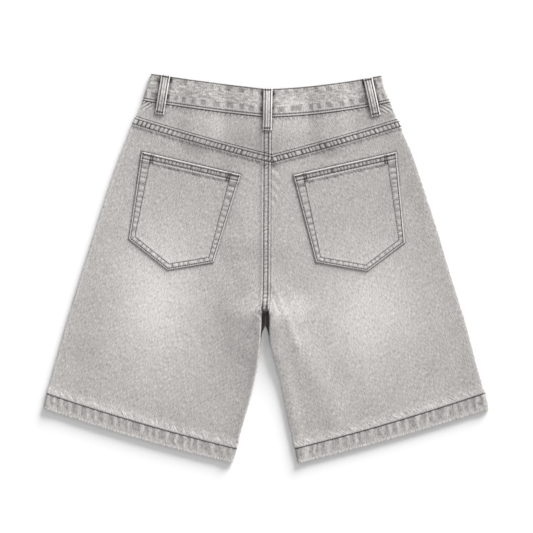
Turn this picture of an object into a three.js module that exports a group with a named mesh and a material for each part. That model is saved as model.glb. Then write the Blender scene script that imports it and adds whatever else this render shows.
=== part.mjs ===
// Denim shorts laid flat with the back up. Millimetres: X to the right, Y towards the waist,
// Z up from the surface that the front rests on. The origin is the middle of the outline.
import * as THREE from 'three';

// Cloth
const CLOTH = 1.2; // one ply of denim
const BAND = 2.0; // waistband, two plies
const HEM = 2.2; // turned hem
const RIDGE = 1.0; // how far a felled seam stands over the panel
const YOKE_RIDGE = 10.5; // width of the felled yoke seam
const SEAT_RIDGE = 11.6; // width of the felled seat seam
const RIDGE_FALL = 2; // width over which a felled seam falls back to the panel
const GAP = 0.3; // clearance between pieces
const CURL = 1.4; // inside radius of the folded edges

// Air between the upper and the lower cloth
const AIR = 1.5;
const EDGE_AIR = 2.8;
const BAND_EDGE_AIR = 1.6;
const LEAST_AIR = 0.5;
const MOST_AIR = 3.2;
const HEM_SINK = 1.2; // the thick hem takes this much of the air
const EASE = 46; // width over which the upper cloth settles beside the laps
const LAP_CLEAR = 5; // how far past a lap the upper cloth stays up
const SIDE_FOLD = { near: 4, far: 34 }; // from the side fold to where the cloth lies down
const INSEAM_FOLD = { near: 4, far: 28 };
const INSEAM_RISE = { low: -135, high: -92 }; // y where the inseam fold comes to its full height
const CROTCH_REST = { near: 16, far: 58 }; // the cloths lie on each other round the crotch

// Folded side edges of the laid garment, from the waist down
const OUTLINE = [
  { y: 282.8, left: -167.1, right: 166.4 },
  { y: 262.0, left: -174.3, right: 172.8 },
  { y: 244.5, left: -179.3, right: 179.3 },
  { y: 221.3, left: -189.0, right: 189.4 },
  { y: 201.0, left: -198.1, right: 198.1 },
  { y: 166.2, left: -211.8, right: 213.2 },
  { y: 114.0, left: -230.3, right: 230.8 },
  { y: 61.8, left: -246.6, right: 248.0 },
  { y: 0.0, left: -266.2, right: 266.4 },
  { y: -77.4, left: -289.8, right: 290.2 },
  { y: -129.6, left: -304.6, right: 304.0 },
  { y: -203.0, left: -324.6, right: 324.3 },
];

// Inseam folds from the crotch down, and how far the front shows past the back there
const INSEAM = [
  { y: -61.5, left: -6.1, right: 3.7 },
  { y: -90.0, left: -7.5, right: 3.9 },
  { y: -111.0, left: -8.8, right: 5.4 },
  { y: -140.0, left: -12.2, right: 12.6 },
  { y: -164.0, left: -17.2, right: 19.2 },
  { y: -188.0, left: -23.0, right: 24.2 },
  { y: -234.0, left: -36.3, right: 34.0 },
  { y: -260.0, left: -42.7, right: 40.8 },
  { y: -283.0, left: -48.9, right: 45.3 },
];
const FRONT_CROTCH = [
  { y: -77.0, left: -1.4, right: -1.0 },
  { y: -86.0, left: -4.7, right: 1.4 },
  { y: -98.0, left: -6.9, right: 3.3 },
  { y: -111.0, left: -8.8, right: 5.4 },
];
const BACK_CROTCH_Y = -61.5;
const FRONT_CROTCH_Y = -77.0;
const BACK_TURN = { from: 0, to: 15 }; // below the crotch, where the inseam edge folds round
const FRONT_TURN = { from: 11, to: 41 };

// Seams across the garment, by row: waist edge, waistband, yoke, hem and leg edge. Each has its height
// at the side folds and at the middle (f for the front), and how far it sags between them
const LEVELS = [
  { outL: 282.8, outR: 280.3, inL: 260.3, inR: 260.3, inF: 238.0, sagL: 1.0, sagR: 3.4, sagF: 10.0 },
  { outL: 244.5, outR: 242.4, inL: 220.1, inR: 220.1, inF: 198.0, sagL: 1.7, sagR: 4.4, sagF: 10.0 },
  { outL: 220.5, outR: 216.6, inL: 166.5, inR: 162.8, inF: 150.0, sagL: 1.5, sagR: 1.1, sagF: 6.0 },
  { outL: -179.7, outR: -178.2, inL: -259.7, inR: -259.4, inF: -259.5, sagL: 3.3, sagR: 3.3, sagF: 3.3 },
  { outL: -202.3, outR: -203.3, inL: -281.9, inR: -282.8, inF: -282.3, sagL: 4.4, sagR: 3.0, sagF: 3.7 },
];
const WAIST = 0;
const BAND_SEAM = 1;
const YOKE_SEAM = 2;
const HEM_SEAM = 3;
const LEG_EDGE = 4;
const BAND_HEIGHT = LEVELS[WAIST].inL - LEVELS[BAND_SEAM].inL;
const YOKE_SIDE = LEVELS[BAND_SEAM].outL - LEVELS[YOKE_SEAM].outL;
const LEG_LENGTH = LEVELS[YOKE_SEAM].inL - LEVELS[HEM_SEAM].inL;
const HEM_HEIGHT = LEVELS[HEM_SEAM].inL - LEVELS[LEG_EDGE].inL;

// Centre lines: x at the waist and at the crotch
const MIDDLE = { waist: 1.8, crotch: -1.2 };
const SEAT_FOLD = { waist: 7.2, crotch: 3.4 };

// Fly: the left front laps over the right one, with the zip behind the lap
const FLY = { over: 8, under: 6, bottom: 50, fade: 12, rise: 1.5, ramp: 16, low: 22 };
const BAND_LAP = { over: 16, under: 22, rise: 2.3, ramp: 16 };
const ZIP = { width: 22, thickness: 1.0, top: 192, bottom: 54 };
const BUTTON = { x: 1.5, y: 218, radius: 8.5, height: 2.2, lift: 2.5, near: 11, far: 62 };

// Belt loops: middle of the upper end and of the lower end
const LOOP = { width: 13, thickness: 1.9, arch: 1.4, lift: 2.3, near: 2, far: 30 };
const BACK_LOOPS = [
  { name: 'left', x1: -145.8, y1: 280.4, x2: -155.2, y2: 223.7 },
  { name: 'centre', x1: 2.4, y1: 261.2, x2: 1.2, y2: 200.1 },
  { name: 'right', x1: 147.2, y1: 276.2, x2: 159.3, y2: 221.2 },
];
const FRONT_LOOPS = [
  { name: 'left', x1: -93, y1: 253.6, x2: -96, y2: 195.6 },
  { name: 'right', x1: 93, y1: 252.2, x2: 96, y2: 194.2 },
];

// Back pockets: corners from the upper outer one round to the point
const POCKET = { ply: 1.3, border: 2.0, topBand: 13.5, sideBand: 12.5, step: 1.6 };
const POCKETS = [
  {
    side: 'left', outer: [-180.5, 169.7], inner: [-38.1, 136.6],
    low: [-78.2, 9.1], tip: [-143.6, -1.9], out: [-199.3, 42.8],
  },
  {
    side: 'right', outer: [188.4, 169.5], inner: [40.4, 134.9],
    low: [75.0, 10.0], tip: [145.7, -3.9], out: [201.0, 37.7],
  },
];

// Soft folds of the upper cloth, each along a line, as a ridge or (below zero) a trough
const FOLDS = [
  { x1: 27, y1: -60, x2: 100, y2: -220, width: 20, height: 0.9 },
  { x1: 7, y1: -22, x2: 44, y2: -111, width: 7, height: 0.7 },
  { x1: 8, y1: -45, x2: 21, y2: -78, width: 5, height: 0.4 },
  { x1: -6, y1: -40, x2: -31, y2: -75, width: 6, height: 0.5 },
  { x1: -27, y1: -82, x2: -102, y2: -234, width: 22, height: 0.8 },
  { x1: 63, y1: -89, x2: 143, y2: -227, width: 22, height: -0.6 },
  { x1: -75, y1: -75, x2: -147, y2: -220, width: 24, height: -0.6 },
  { x1: -212, y1: 56, x2: -256, y2: -89, width: 26, height: 0.6 },
  { x1: 230, y1: 49, x2: 269, y2: -118, width: 24, height: 0.6 },
  { x1: -140, y1: -24, x2: -147, y2: -133, width: 28, height: -0.5 },
  { x1: 150, y1: -24, x2: 165, y2: -147, width: 30, height: -0.5 },
  { x1: -53, y1: 42, x2: -15, y2: -46, width: 12, height: 0.5 },
  { x1: 52, y1: 44, x2: 14, y2: -34, width: 12, height: 0.5 },
];

// How finely the pieces are divided
const CURL_STEPS = [0, 0.34, 0.67];
const INNER_FLAT = [SEAT_RIDGE + RIDGE_FALL, SEAT_RIDGE, SEAT_RIDGE / 2, 0];
const ACROSS = 9;
const BAND_ACROSS = 10;
const LOOP_STEPS = 8;

const DENIM = { color: '#bdbab6', roughness: 0.92, metalness: 0 };
const METAL = { color: '#8d8c8a', roughness: 0.35, metalness: 0.9 };
const TAPE = { color: '#8f8d8b', roughness: 0.8, metalness: 0 };

const mix = (a, b, f) => a + (b - a) * f;
const clamp = (value, low, high) => Math.min(high, Math.max(low, value));

function ramp(value, from, to) {
  const f = clamp((value - from) / (to - from), 0, 1);
  return f * f * (3 - 2 * f);
}

// Smooth curve through a table whose rows go down in y, straight past its ends
function readTable(table, key, y) {
  const last = table.length - 1;
  const slope = (i) => {
    const a = table[Math.max(0, i - 1)];
    const b = table[Math.min(last, i + 1)];
    return (b[key] - a[key]) / (b.y - a.y);
  };
  if (y >= table[0].y) return table[0][key] + slope(0) * (y - table[0].y);
  if (y <= table[last].y) return table[last][key] + slope(last) * (y - table[last].y);
  const i = table.findIndex((row) => row.y < y) - 1;
  const span = table[i + 1].y - table[i].y;
  const f = (y - table[i].y) / span;
  const f2 = f * f;
  const f3 = f2 * f;
  return (2 * f3 - 3 * f2 + 1) * table[i][key] + (f3 - 2 * f2 + f) * span * slope(i)
    + (3 * f2 - 2 * f3) * table[i + 1][key] + (f3 - f2) * span * slope(i + 1);
}

function distanceTo(x, y, line) {
  const dx = line.x2 - line.x1;
  const dy = line.y2 - line.y1;
  const f = clamp(((x - line.x1) * dx + (y - line.y1) * dy) / (dx * dx + dy * dy), 0, 1);
  return Math.hypot(x - line.x1 - f * dx, y - line.y1 - f * dy);
}

// Height of the seam t (0 at the waist edge, 4 at the leg edge) by a column of LEVELS
function levelValue(t, key) {
  const i = Math.min(LEG_EDGE - 1, Math.floor(t));
  return mix(LEVELS[i][key], LEVELS[i + 1][key], t - i);
}

const plyAt = (t) => {
  if (t < BAND_SEAM) return BAND;
  return t < HEM_SEAM ? CLOTH : HEM;
};

const alongMiddle = (line, y) => mix(line.waist, line.crotch,
  (LEVELS[WAIST].inL - y) / (LEVELS[WAIST].inL - BACK_CROTCH_Y));

const sagging = (sag, u) => sag * 4 * u * (1 - u);

// 1 where the front waistband lies under this point
function frontBandAt(x, y) {
  const { inF, outL, sagF } = LEVELS[BAND_SEAM];
  const u = Math.min(1, Math.abs(x) / OUTLINE[2].right);
  const seamY = mix(inF, outL, u) - sagging(sagF, u);
  return ramp(y, seamY - 9, seamY + 1);
}

// What the lower cloth is raised by: the button and the front loops that it lies on
function liftAt(x, y) {
  const button = 1 - ramp(Math.hypot(x - BUTTON.x, y - BUTTON.y), BUTTON.near, BUTTON.far);
  let clear = 1 - button;
  for (const loop of FRONT_LOOPS) {
    const away = distanceTo(x, y, loop) - LOOP.width / 2;
    clear *= 1 - (1 - ramp(away, LOOP.near, LOOP.far)) * LOOP.lift / BUTTON.lift;
  }
  return BUTTON.lift * (1 - clear);
}

// Top of the lower cloth with its laps, smoothed wide enough to lay the upper cloth on
function lowerTopAt(x, y, t) {
  const band = frontBandAt(x, y);
  const flyX = ramp(x, -FLY.under - ZIP.width - EASE, -FLY.under - ZIP.width)
    * (1 - ramp(x, FLY.over + LAP_CLEAR, FLY.over + LAP_CLEAR + EASE));
  const flyY = ramp(y, FLY.bottom - EASE, FLY.bottom - LAP_CLEAR);
  const lapX = ramp(x, -BAND_LAP.under - EASE, -BAND_LAP.under)
    * (1 - ramp(x, BAND_LAP.over + LAP_CLEAR, BAND_LAP.over + LAP_CLEAR + EASE));
  const ply = t > HEM_SEAM ? HEM : CLOTH;
  return liftAt(x, y) + ply + (BAND - CLOTH) * band + FLY.rise * Math.max(flyX * flyY, lapX * band)
    + (BAND_LAP.rise - FLY.rise) * lapX * band;
}

// Air between the cloths: a little at the folds of the sides, next to none at the crotch
function airAt(x, y, t) {
  const side = Math.min(x - readTable(OUTLINE, 'left', y), readTable(OUTLINE, 'right', y) - x);
  const key = x < MIDDLE.crotch ? 'left' : 'right';
  const inseam = Math.abs(x - readTable(INSEAM, key, Math.min(y, BACK_CROTCH_Y)));
  const nearSide = 1 - ramp(side, SIDE_FOLD.near, SIDE_FOLD.far);
  const nearInseam = (1 - ramp(inseam, INSEAM_FOLD.near, INSEAM_FOLD.far))
    * (1 - ramp(y, INSEAM_RISE.low, INSEAM_RISE.high));
  const edge = Math.max(nearSide, nearInseam);
  const edgeAir = mix(EDGE_AIR, BAND_EDGE_AIR, frontBandAt(x, y));
  let air = AIR;
  for (const fold of FOLDS) {
    const away = distanceTo(x, y, fold) / fold.width;
    air += fold.height * Math.exp(-away * away);
  }
  air = mix(air, edgeAir, edge);
  const fromCrotch = Math.hypot(x - MIDDLE.crotch, y - FRONT_CROTCH_Y);
  air = mix(LEAST_AIR, air, ramp(fromCrotch, CROTCH_REST.near, CROTCH_REST.far));
  if (t > HEM_SEAM) air -= HEM_SINK;
  return clamp(air, LEAST_AIR, MOST_AIR);
}

const upperTopAt = (x, y, t) => lowerTopAt(x, y, t) + airAt(x, y, t) + plyAt(t);

// Where a row ends: on the inseam, or at the middle of the garment
function innerX(piece, y) {
  if (piece.kind === 'band') return alongMiddle(MIDDLE, y);
  const crotch = piece.layer === 'back' ? BACK_CROTCH_Y : FRONT_CROTCH_Y;
  if (y >= crotch) return alongMiddle(MIDDLE, y);
  const table = piece.layer === 'front' && y > FRONT_CROTCH[3].y ? FRONT_CROTCH : INSEAM;
  return readTable(table, piece.side, y);
}

// How far a piece reaches past the middle: the seat seam is felled over to the right, the front laps
function overAt(piece, y) {
  const left = piece.side === 'left';
  if (piece.kind === 'band') return piece.layer === 'back' ? 0 : left ? BAND_LAP.over : BAND_LAP.under;
  if (piece.layer === 'back') {
    if (y < BACK_CROTCH_Y) return 0;
    const past = alongMiddle(SEAT_FOLD, y) - alongMiddle(MIDDLE, y);
    return (left ? past : -past) - GAP / 2;
  }
  if (y < FRONT_CROTCH_Y) return 0;
  return (left ? FLY.over : FLY.under) * ramp(y, FLY.bottom, FLY.bottom + FLY.fade) - GAP / 2;
}

// The right front climbs over the lap of the left one, and so does the waistband's end
function lapRise(piece, x, y) {
  if (piece.layer !== 'front' || piece.side !== 'right') return 0;
  const lap = piece.kind === 'band' ? BAND_LAP : FLY;
  const over = lap.rise * (1 - ramp(x, lap.over + 3, lap.over + 3 + lap.ramp));
  return piece.kind === 'band' ? over : over * ramp(y, FLY.low, FLY.bottom - 4);
}

// How far the inner edge is folded round: not at the centre seams, fully down the inseam
function turnAt(piece, y) {
  if (piece.kind === 'band') return 0;
  if (piece.layer === 'back') return ramp(BACK_CROTCH_Y - y, BACK_TURN.from, BACK_TURN.to);
  return ramp(FRONT_CROTCH_Y - y, FRONT_TURN.from, FRONT_TURN.to);
}

// Ends of the line across a leg at seam height t
function spanAt(piece, t) {
  const hand = piece.side === 'left' ? 'L' : 'R';
  const middle = piece.layer === 'back' || t >= HEM_SEAM ? hand : 'F';
  const outY = levelValue(t, `out${hand}`);
  const inY = levelValue(t, `in${middle}`);
  const outX = readTable(OUTLINE, piece.side, outY);
  const inX = innerX(piece, inY);
  const length = Math.hypot(inX - outX, inY - outY);
  return {
    out: [outX, outY],
    in: [inX, inY],
    dir: [(inX - outX) / length, (inY - outY) / length],
    length,
    reach: length + overAt(piece, inY),
    sag: levelValue(t, `sag${middle}`),
    turn: turnAt(piece, inY),
  };
}

// Height of a piece's outer or inner face over a point
function faceZ(piece, x, y, t, depth, ridge) {
  if (piece.layer === 'back') return upperTopAt(x, y, t) + ridge - depth;
  return liftAt(x, y) + lapRise(piece, x, y) + depth;
}

// A point round a folded edge, f from 0 on the fold to 1 where the cloth is flat again
function curled(piece, span, end, t, f, depth, ridge) {
  const way = end === 'out' ? 1 : -1;
  const start = span[end];
  const radius = plyAt(t) + CURL;
  const x = start[0] + way * span.dir[0] * radius;
  const y = start[1] + way * span.dir[1] * radius;
  const top = upperTopAt(x, y, t);
  const bottom = liftAt(x, y);
  const half = (top - bottom) / 2;
  const angle = f * Math.PI / 2;
  const inset = radius - (radius + ridge - depth) * Math.cos(angle);
  const up = Math.max(piece.seam, (half + ridge - depth) * Math.sin(angle));
  const z = (top + bottom) / 2 + (piece.layer === 'back' ? up : -up);
  return new THREE.Vector3(start[0] + way * span.dir[0] * inset, start[1] + way * span.dir[1] * inset, z);
}

function flatPoint(piece, span, t, along, depth, ridge) {
  const u = Math.min(1, along / span.length);
  const past = piece.kind === 'band' ? Math.max(0, along - span.length) : 0;
  const x = span.out[0] + span.dir[0] * along;
  const y = span.out[1] + span.dir[1] * (along - 2 * past) - sagging(span.sag, u);
  return new THREE.Vector3(x, y, faceZ(piece, x, y, t, depth, ridge));
}

// One row of a leg piece, from the side fold to the inner edge
function crossRow(piece, t, inset, rowRidge) {
  const span = spanAt(piece, t);
  const ply = plyAt(t);
  const depth = inset * ply;
  const raise = (amount) => amount * (1 - inset);
  const first = ply + CURL;
  const lastFlat = mix(INNER_FLAT[0], first, span.turn);
  const row = CURL_STEPS.map((f) => curled(piece, span, 'out', t, f, depth, raise(rowRidge)));
  for (let i = 0; i <= ACROSS; i += 1) {
    const along = mix(first, span.reach - lastFlat, i / ACROSS);
    row.push(flatPoint(piece, span, t, along, depth, raise(rowRidge)));
  }
  for (let k = 1; k < INNER_FLAT.length; k += 1) {
    const ridge = Math.max(rowRidge, piece.seatRidge * (1 - span.turn));
    const flat = flatPoint(piece, span, t, span.reach - INNER_FLAT[k], depth, raise(ridge));
    const bend = CURL_STEPS[INNER_FLAT.length - 1 - k];
    const round = curled(piece, span, 'in', t, bend, depth, raise(rowRidge));
    row.push(flat.lerp(round, span.turn));
  }
  return row;
}

function makeGeometry(points, faces) {
  let volume = 0;
  const [a, b, c] = [new THREE.Vector3(), new THREE.Vector3(), new THREE.Vector3()];
  for (const face of faces) {
    volume += a.copy(points[face[0]]).dot(b.copy(points[face[1]]).cross(c.copy(points[face[2]])));
  }
  const index = faces.flatMap((face) => (volume > 0 ? face : [face[0], face[2], face[1]]));
  const geometry = new THREE.BufferGeometry();
  const coordinates = points.flatMap((point) => point.toArray());
  geometry.setAttribute('position', new THREE.Float32BufferAttribute(coordinates, 3));
  geometry.setIndex(index);
  geometry.computeVertexNormals();
  return geometry;
}

// Sections of one size joined end to end: capped at both ends, or closed into a ring
function loft(sections, closed) {
  const size = sections[0].length;
  const count = sections.length;
  const faces = [];
  for (let i = 0; i < (closed ? count : count - 1); i += 1) {
    const next = (i + 1) % count;
    for (let k = 0; k < size; k += 1) {
      const side = (k + 1) % size;
      const [p, q, r, s] = [i * size + k, i * size + side, next * size + side, next * size + k];
      faces.push([p, q, r], [p, r, s]);
    }
  }
  if (!closed) {
    const half = size / 2;
    for (const [base, flip] of [[0, false], [(count - 1) * size, true]]) {
      for (let k = 0; k < half - 1; k += 1) {
        const [p, q, r, s] = [base + k, base + size - 1 - k, base + size - 2 - k, base + k + 1];
        faces.push(flip ? [p, s, r] : [p, r, s], flip ? [p, r, q] : [p, q, r]);
      }
    }
  }
  return makeGeometry(sections.flat(), faces);
}

// A wall between two faces of the same rows: each section runs out along one and back along the other
const wall = (outer, inner) => loft(outer.map((row, i) => [...row, ...[...inner[i]].reverse()]), false);

function seamRows(from, to, count) {
  return Array.from({ length: count + 1 }, (unused, i) => mix(from, to, i / count));
}

// The seam height whose inner end lies at y
function heightOf(piece, from, to, y) {
  let [a, b] = [from, to];
  for (let i = 0; i < 40; i += 1) {
    const t = (a + b) / 2;
    if (spanAt(piece, t).in[1] > y) a = t;
    else b = t;
  }
  return a;
}

const below = (t, distance) => t + distance / LEG_LENGTH;
const LEG_START = BAND_SEAM + GAP / 2 / YOKE_SIDE;
const LEG_END = below(HEM_SEAM, -GAP / 2);

function legGeometry(piece, heights, ridges = []) {
  const outer = heights.map((t, i) => crossRow(piece, t, 0, ridges[i] ?? 0));
  const inner = heights.map((t, i) => crossRow(piece, t, 1, ridges[i] ?? 0));
  return wall(outer, inner);
}

function makeBack(side) {
  const seatRidge = side === 'left' ? RIDGE : 0;
  const piece = { side, layer: 'back', kind: 'leg', seam: GAP / 2, seatRidge };
  const top = below(YOKE_SEAM, GAP / 2);
  const ridgeEnd = below(top, YOKE_RIDGE);
  const ridgeFoot = below(ridgeEnd, RIDGE_FALL);
  const crotch = heightOf(piece, YOKE_SEAM, HEM_SEAM, BACK_CROTCH_Y);
  const heights = [
    top,
    ridgeEnd,
    ...seamRows(ridgeFoot, below(crotch, -2), 8),
    ...seamRows(below(crotch, 1), below(crotch, BACK_TURN.to), 2),
    ...seamRows(below(crotch, 2 * BACK_TURN.to), LEG_END, 8),
  ];
  return legGeometry(piece, heights, [RIDGE, RIDGE]);
}

function makeYoke(side) {
  const seatRidge = side === 'left' ? RIDGE : 0;
  const piece = { side, layer: 'back', kind: 'leg', seam: GAP / 2, seatRidge };
  return legGeometry(piece, seamRows(LEG_START, YOKE_SEAM - GAP / 2 / YOKE_SIDE, 3));
}

function makeFront(side) {
  const piece = { side, layer: 'front', kind: 'leg', seam: GAP / 2, seatRidge: 0 };
  const crotch = heightOf(piece, YOKE_SEAM, HEM_SEAM, FRONT_CROTCH_Y);
  const flyEnd = heightOf(piece, YOKE_SEAM, HEM_SEAM, FLY.bottom + FLY.fade + 2);
  const flyGone = heightOf(piece, YOKE_SEAM, HEM_SEAM, FLY.bottom - 1);
  const turnStart = below(crotch, FRONT_TURN.from);
  const turnEnd = below(crotch, FRONT_TURN.to);
  return legGeometry(piece, [
    ...seamRows(LEG_START, flyEnd, 6),
    (flyEnd + flyGone) / 2,
    ...seamRows(flyGone, crotch, 5),
    ...seamRows(turnStart, turnEnd, 2),
    ...seamRows(below(turnEnd, FRONT_TURN.from), LEG_END, 5),
  ]);
}

// One station of a band that goes round: out along its outer face and back along its inner face
function bandSection(piece, heights, column) {
  const face = (inset) => heights.map((t) => {
    const span = spanAt(piece, t);
    const depth = inset * plyAt(t);
    const reach = plyAt(t) + CURL;
    if (column.curl !== undefined) return curled(piece, span, column.end, t, column.curl, depth, 0);
    const far = span.reach - (piece.kind === 'band' ? 0 : reach);
    return flatPoint(piece, span, t, mix(reach, far, column.f), depth, 0);
  });
  return [...face(0), ...face(1).reverse()];
}

const flats = (count) => seamRows(0, 1, count).map((f) => ({ f }));
const curls = (end, steps) => steps.map((curl) => ({ end, curl }));

// The waistband runs from its outer end, at the left of the middle front, right round to its inner end
function makeWaistband() {
  const heights = seamRows(WAIST, BAND_SEAM - GAP / 2 / BAND_HEIGHT, 3);
  const go = (side, layer, columns) => {
    const piece = { side, layer, kind: 'band', seam: 0 };
    return columns.map((column) => bandSection(piece, heights, column));
  };
  const across = flats(BAND_ACROSS);
  const [fold, ...bend] = curls('out', CURL_STEPS);
  return loft([
    ...go('left', 'front', [...bend, ...across].reverse()),
    ...go('left', 'back', [fold, ...bend, ...across]),
    ...go('right', 'back', [fold, ...bend, ...across.slice(0, -1)].reverse()),
    ...go('right', 'front', [...bend, ...across]),
  ], false);
}

function makeHem(side) {
  const heights = seamRows(HEM_SEAM + GAP / 2 / HEM_HEIGHT, LEG_EDGE, 2);
  const go = (layer, columns) => {
    const piece = { side, layer, kind: 'hem', seam: 0 };
    return columns.map((column) => bandSection(piece, heights, column));
  };
  const [outFold, ...outBend] = curls('out', CURL_STEPS);
  const [inFold, ...inBend] = curls('in', CURL_STEPS);
  const across = flats(ACROSS);
  return loft([
    ...go('back', [outFold, ...outBend, ...across, ...inBend.reverse()]),
    ...go('front', [outBend, across, inBend, inFold].flat().reverse()),
  ], true);
}

// Height t of the seam line that passes over a point of the back
function backHeightAt(side, x, y) {
  const piece = { side, layer: 'back', kind: 'leg' };
  let [a, b] = [WAIST, HEM_SEAM];
  for (let i = 0; i < 24; i += 1) {
    const t = (a + b) / 2;
    const span = spanAt(piece, t);
    const u = (x - span.out[0]) / (span.in[0] - span.out[0]);
    const lineY = mix(span.out[1], span.in[1], u) - sagging(span.sag, u);
    if (lineY > y) a = t;
    else b = t;
  }
  return a;
}

function makePocket(shape) {
  const across = (p, q, f) => [mix(p[0], q[0], f), mix(p[1], q[1], f)];
  const width = Math.hypot(shape.inner[0] - shape.outer[0], shape.inner[1] - shape.outer[1]);
  const depth = Math.hypot(shape.out[0] - shape.outer[0], shape.out[1] - shape.outer[1]);
  const side = POCKET.sideBand / width;
  const step = POCKET.step / width;
  const tipAt = (shape.tip[0] - shape.out[0]) / (shape.low[0] - shape.out[0]);
  const outerHalf = seamRows(side + step, tipAt, 2);
  const innerHalf = seamRows(tipAt, 1 - side - step, 3);
  const columns = [0, side, ...outerHalf, ...innerHalf.slice(1), 1 - side, 1];
  const top = POCKET.topBand / depth;
  const foot = 1 - POCKET.sideBand / depth;
  const rows = [0, top, ...seamRows(top + POCKET.step / depth, foot - POCKET.step / depth, 4), foot, 1];
  const point = (f, g) => {
    const upper = across(shape.outer, shape.inner, f);
    const lower = f < tipAt ? across(shape.out, shape.tip, f / tipAt)
      : across(shape.tip, shape.low, (f - tipAt) / (1 - tipAt));
    return across(upper, lower, g);
  };
  const bordered = (i, j) => i <= 1 || i >= columns.length - 2 || j <= 1 || j >= rows.length - 2;
  const face = (isOuter) => rows.map((g, j) => columns.map((f, i) => {
    const [x, y] = point(f, g);
    const thickness = bordered(i, j) ? POCKET.border : POCKET.ply;
    const t = Math.max(YOKE_SEAM + 0.01, backHeightAt(shape.side, x, y));
    return new THREE.Vector3(x, y, upperTopAt(x, y, t) + GAP + (isOuter ? thickness : 0));
  }));
  return wall(face(true), face(false));
}

// A belt loop: flat where its ends are sewn down, arched a little between them
function makeLoop(loop, underside) {
  const along = new THREE.Vector2(loop.x2 - loop.x1, loop.y2 - loop.y1);
  const across = new THREE.Vector2(-along.y, along.x).normalize().multiplyScalar(LOOP.width / 2);
  const sections = seamRows(0, 1, LOOP_STEPS).map((f) => {
    const corner = (way, up) => {
      const x = mix(loop.x1, loop.x2, f) + way * across.x;
      const y = mix(loop.y1, loop.y2, f) + way * across.y;
      return new THREE.Vector3(x, y, underside(x, y, f) + up);
    };
    return [corner(-1, 0), corner(1, 0), corner(1, LOOP.thickness), corner(-1, LOOP.thickness)];
  });
  return loft(sections, false);
}

function backLoopUnderside(loop) {
  const side = loop.x1 < 0 ? 'left' : 'right';
  return (x, y, f) => {
    const t = clamp(backHeightAt(side, x, y), WAIST, YOKE_SEAM - 0.01);
    const overBand = 1 - ramp(t, BAND_SEAM + 0.02, BAND_SEAM + 0.3);
    const step = mix(loop.name === 'centre' ? RIDGE : 0, BAND - CLOTH, overBand);
    return upperTopAt(x, y, BAND_SEAM + 0.01) + step + GAP + LOOP.arch * Math.sin(Math.PI * f) ** 2;
  };
}

function makeZip() {
  const right = alongMiddle(MIDDLE, ZIP.top) - FLY.under - GAP;
  const sections = seamRows(ZIP.top, ZIP.bottom, 8).map((y) => {
    const edge = (x, up) => new THREE.Vector3(x, y, liftAt(x, y) + CLOTH + GAP + up);
    const [x1, x2] = [right - ZIP.width, right - 1.2];
    return [edge(x1, 0), edge(x2, 0), edge(x2, ZIP.thickness), edge(x1, ZIP.thickness)];
  });
  return loft(sections, false);
}

function makeButton() {
  const { radius, height } = BUTTON;
  const profile = [[0, 0], [radius - 2.4, 0], [radius - 0.8, 0.3], [radius, 1.0], [radius - 0.5, 1.7],
    [radius - 2, 1.8], [3.2, 1.9], [3, height], [0, height]];
  const geometry = new THREE.LatheGeometry(profile.map(([r, z]) => new THREE.Vector2(r, z)), 24);
  geometry.rotateX(Math.PI / 2);
  return geometry;
}

const group = new THREE.Group();

function add(name, geometry, finish) {
  const mesh = new THREE.Mesh(geometry, new THREE.MeshStandardMaterial(finish));
  mesh.name = name;
  group.add(mesh);
  return mesh;
}

for (const side of ['left', 'right']) {
  add(`back_${side}`, makeBack(side), DENIM);
  add(`yoke_${side}`, makeYoke(side), DENIM);
  add(`front_${side}`, makeFront(side), DENIM);
  add(`hem_${side}`, makeHem(side), DENIM);
}
for (const pocket of POCKETS) add(`pocket_${pocket.side}`, makePocket(pocket), DENIM);
for (const loop of BACK_LOOPS) {
  add(`belt_loop_back_${loop.name}`, makeLoop(loop, backLoopUnderside(loop)), DENIM);
}
for (const loop of FRONT_LOOPS) add(`belt_loop_front_${loop.name}`, makeLoop(loop, () => 0), DENIM);
add('waistband', makeWaistband(), DENIM);
add('fly_zip', makeZip(), TAPE);
add('button', makeButton(), METAL).position.set(BUTTON.x, BUTTON.y, 0);

export default group;
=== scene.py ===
"""Denim shorts laid flat with the back up: cloth, stitching, button, zip, floor, light and camera.

Lengths are in millimetres until a mesh is made, with X to the right, Y towards the waist and
Z up from the surface that the front rests on.
"""

import math
from types import SimpleNamespace

import bmesh
import bpy
import numpy as np
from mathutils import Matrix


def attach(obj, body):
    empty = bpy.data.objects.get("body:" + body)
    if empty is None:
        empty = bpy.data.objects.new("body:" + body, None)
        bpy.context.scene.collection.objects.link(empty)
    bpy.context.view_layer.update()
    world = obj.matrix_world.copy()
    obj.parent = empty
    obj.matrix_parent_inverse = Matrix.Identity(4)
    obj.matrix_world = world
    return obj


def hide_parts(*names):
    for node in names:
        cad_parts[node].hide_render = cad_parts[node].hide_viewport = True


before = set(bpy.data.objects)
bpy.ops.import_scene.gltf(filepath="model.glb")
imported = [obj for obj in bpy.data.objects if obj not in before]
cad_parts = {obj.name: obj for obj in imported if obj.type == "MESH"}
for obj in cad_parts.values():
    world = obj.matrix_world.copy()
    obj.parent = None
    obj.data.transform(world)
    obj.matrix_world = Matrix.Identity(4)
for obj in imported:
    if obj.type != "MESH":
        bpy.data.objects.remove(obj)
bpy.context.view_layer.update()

METRE = 0.001

# Thickness of one ply, of the waistband and of the hems, then felled seams, gaps and folds
CLOTH = 1.2
BAND = 2.0
HEM = 2.2
RIDGE = 1.0
YOKE_RIDGE = 10.5
SEAT_RIDGE = 11.6
GAP = 0.3
CURL = 1.4

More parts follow.
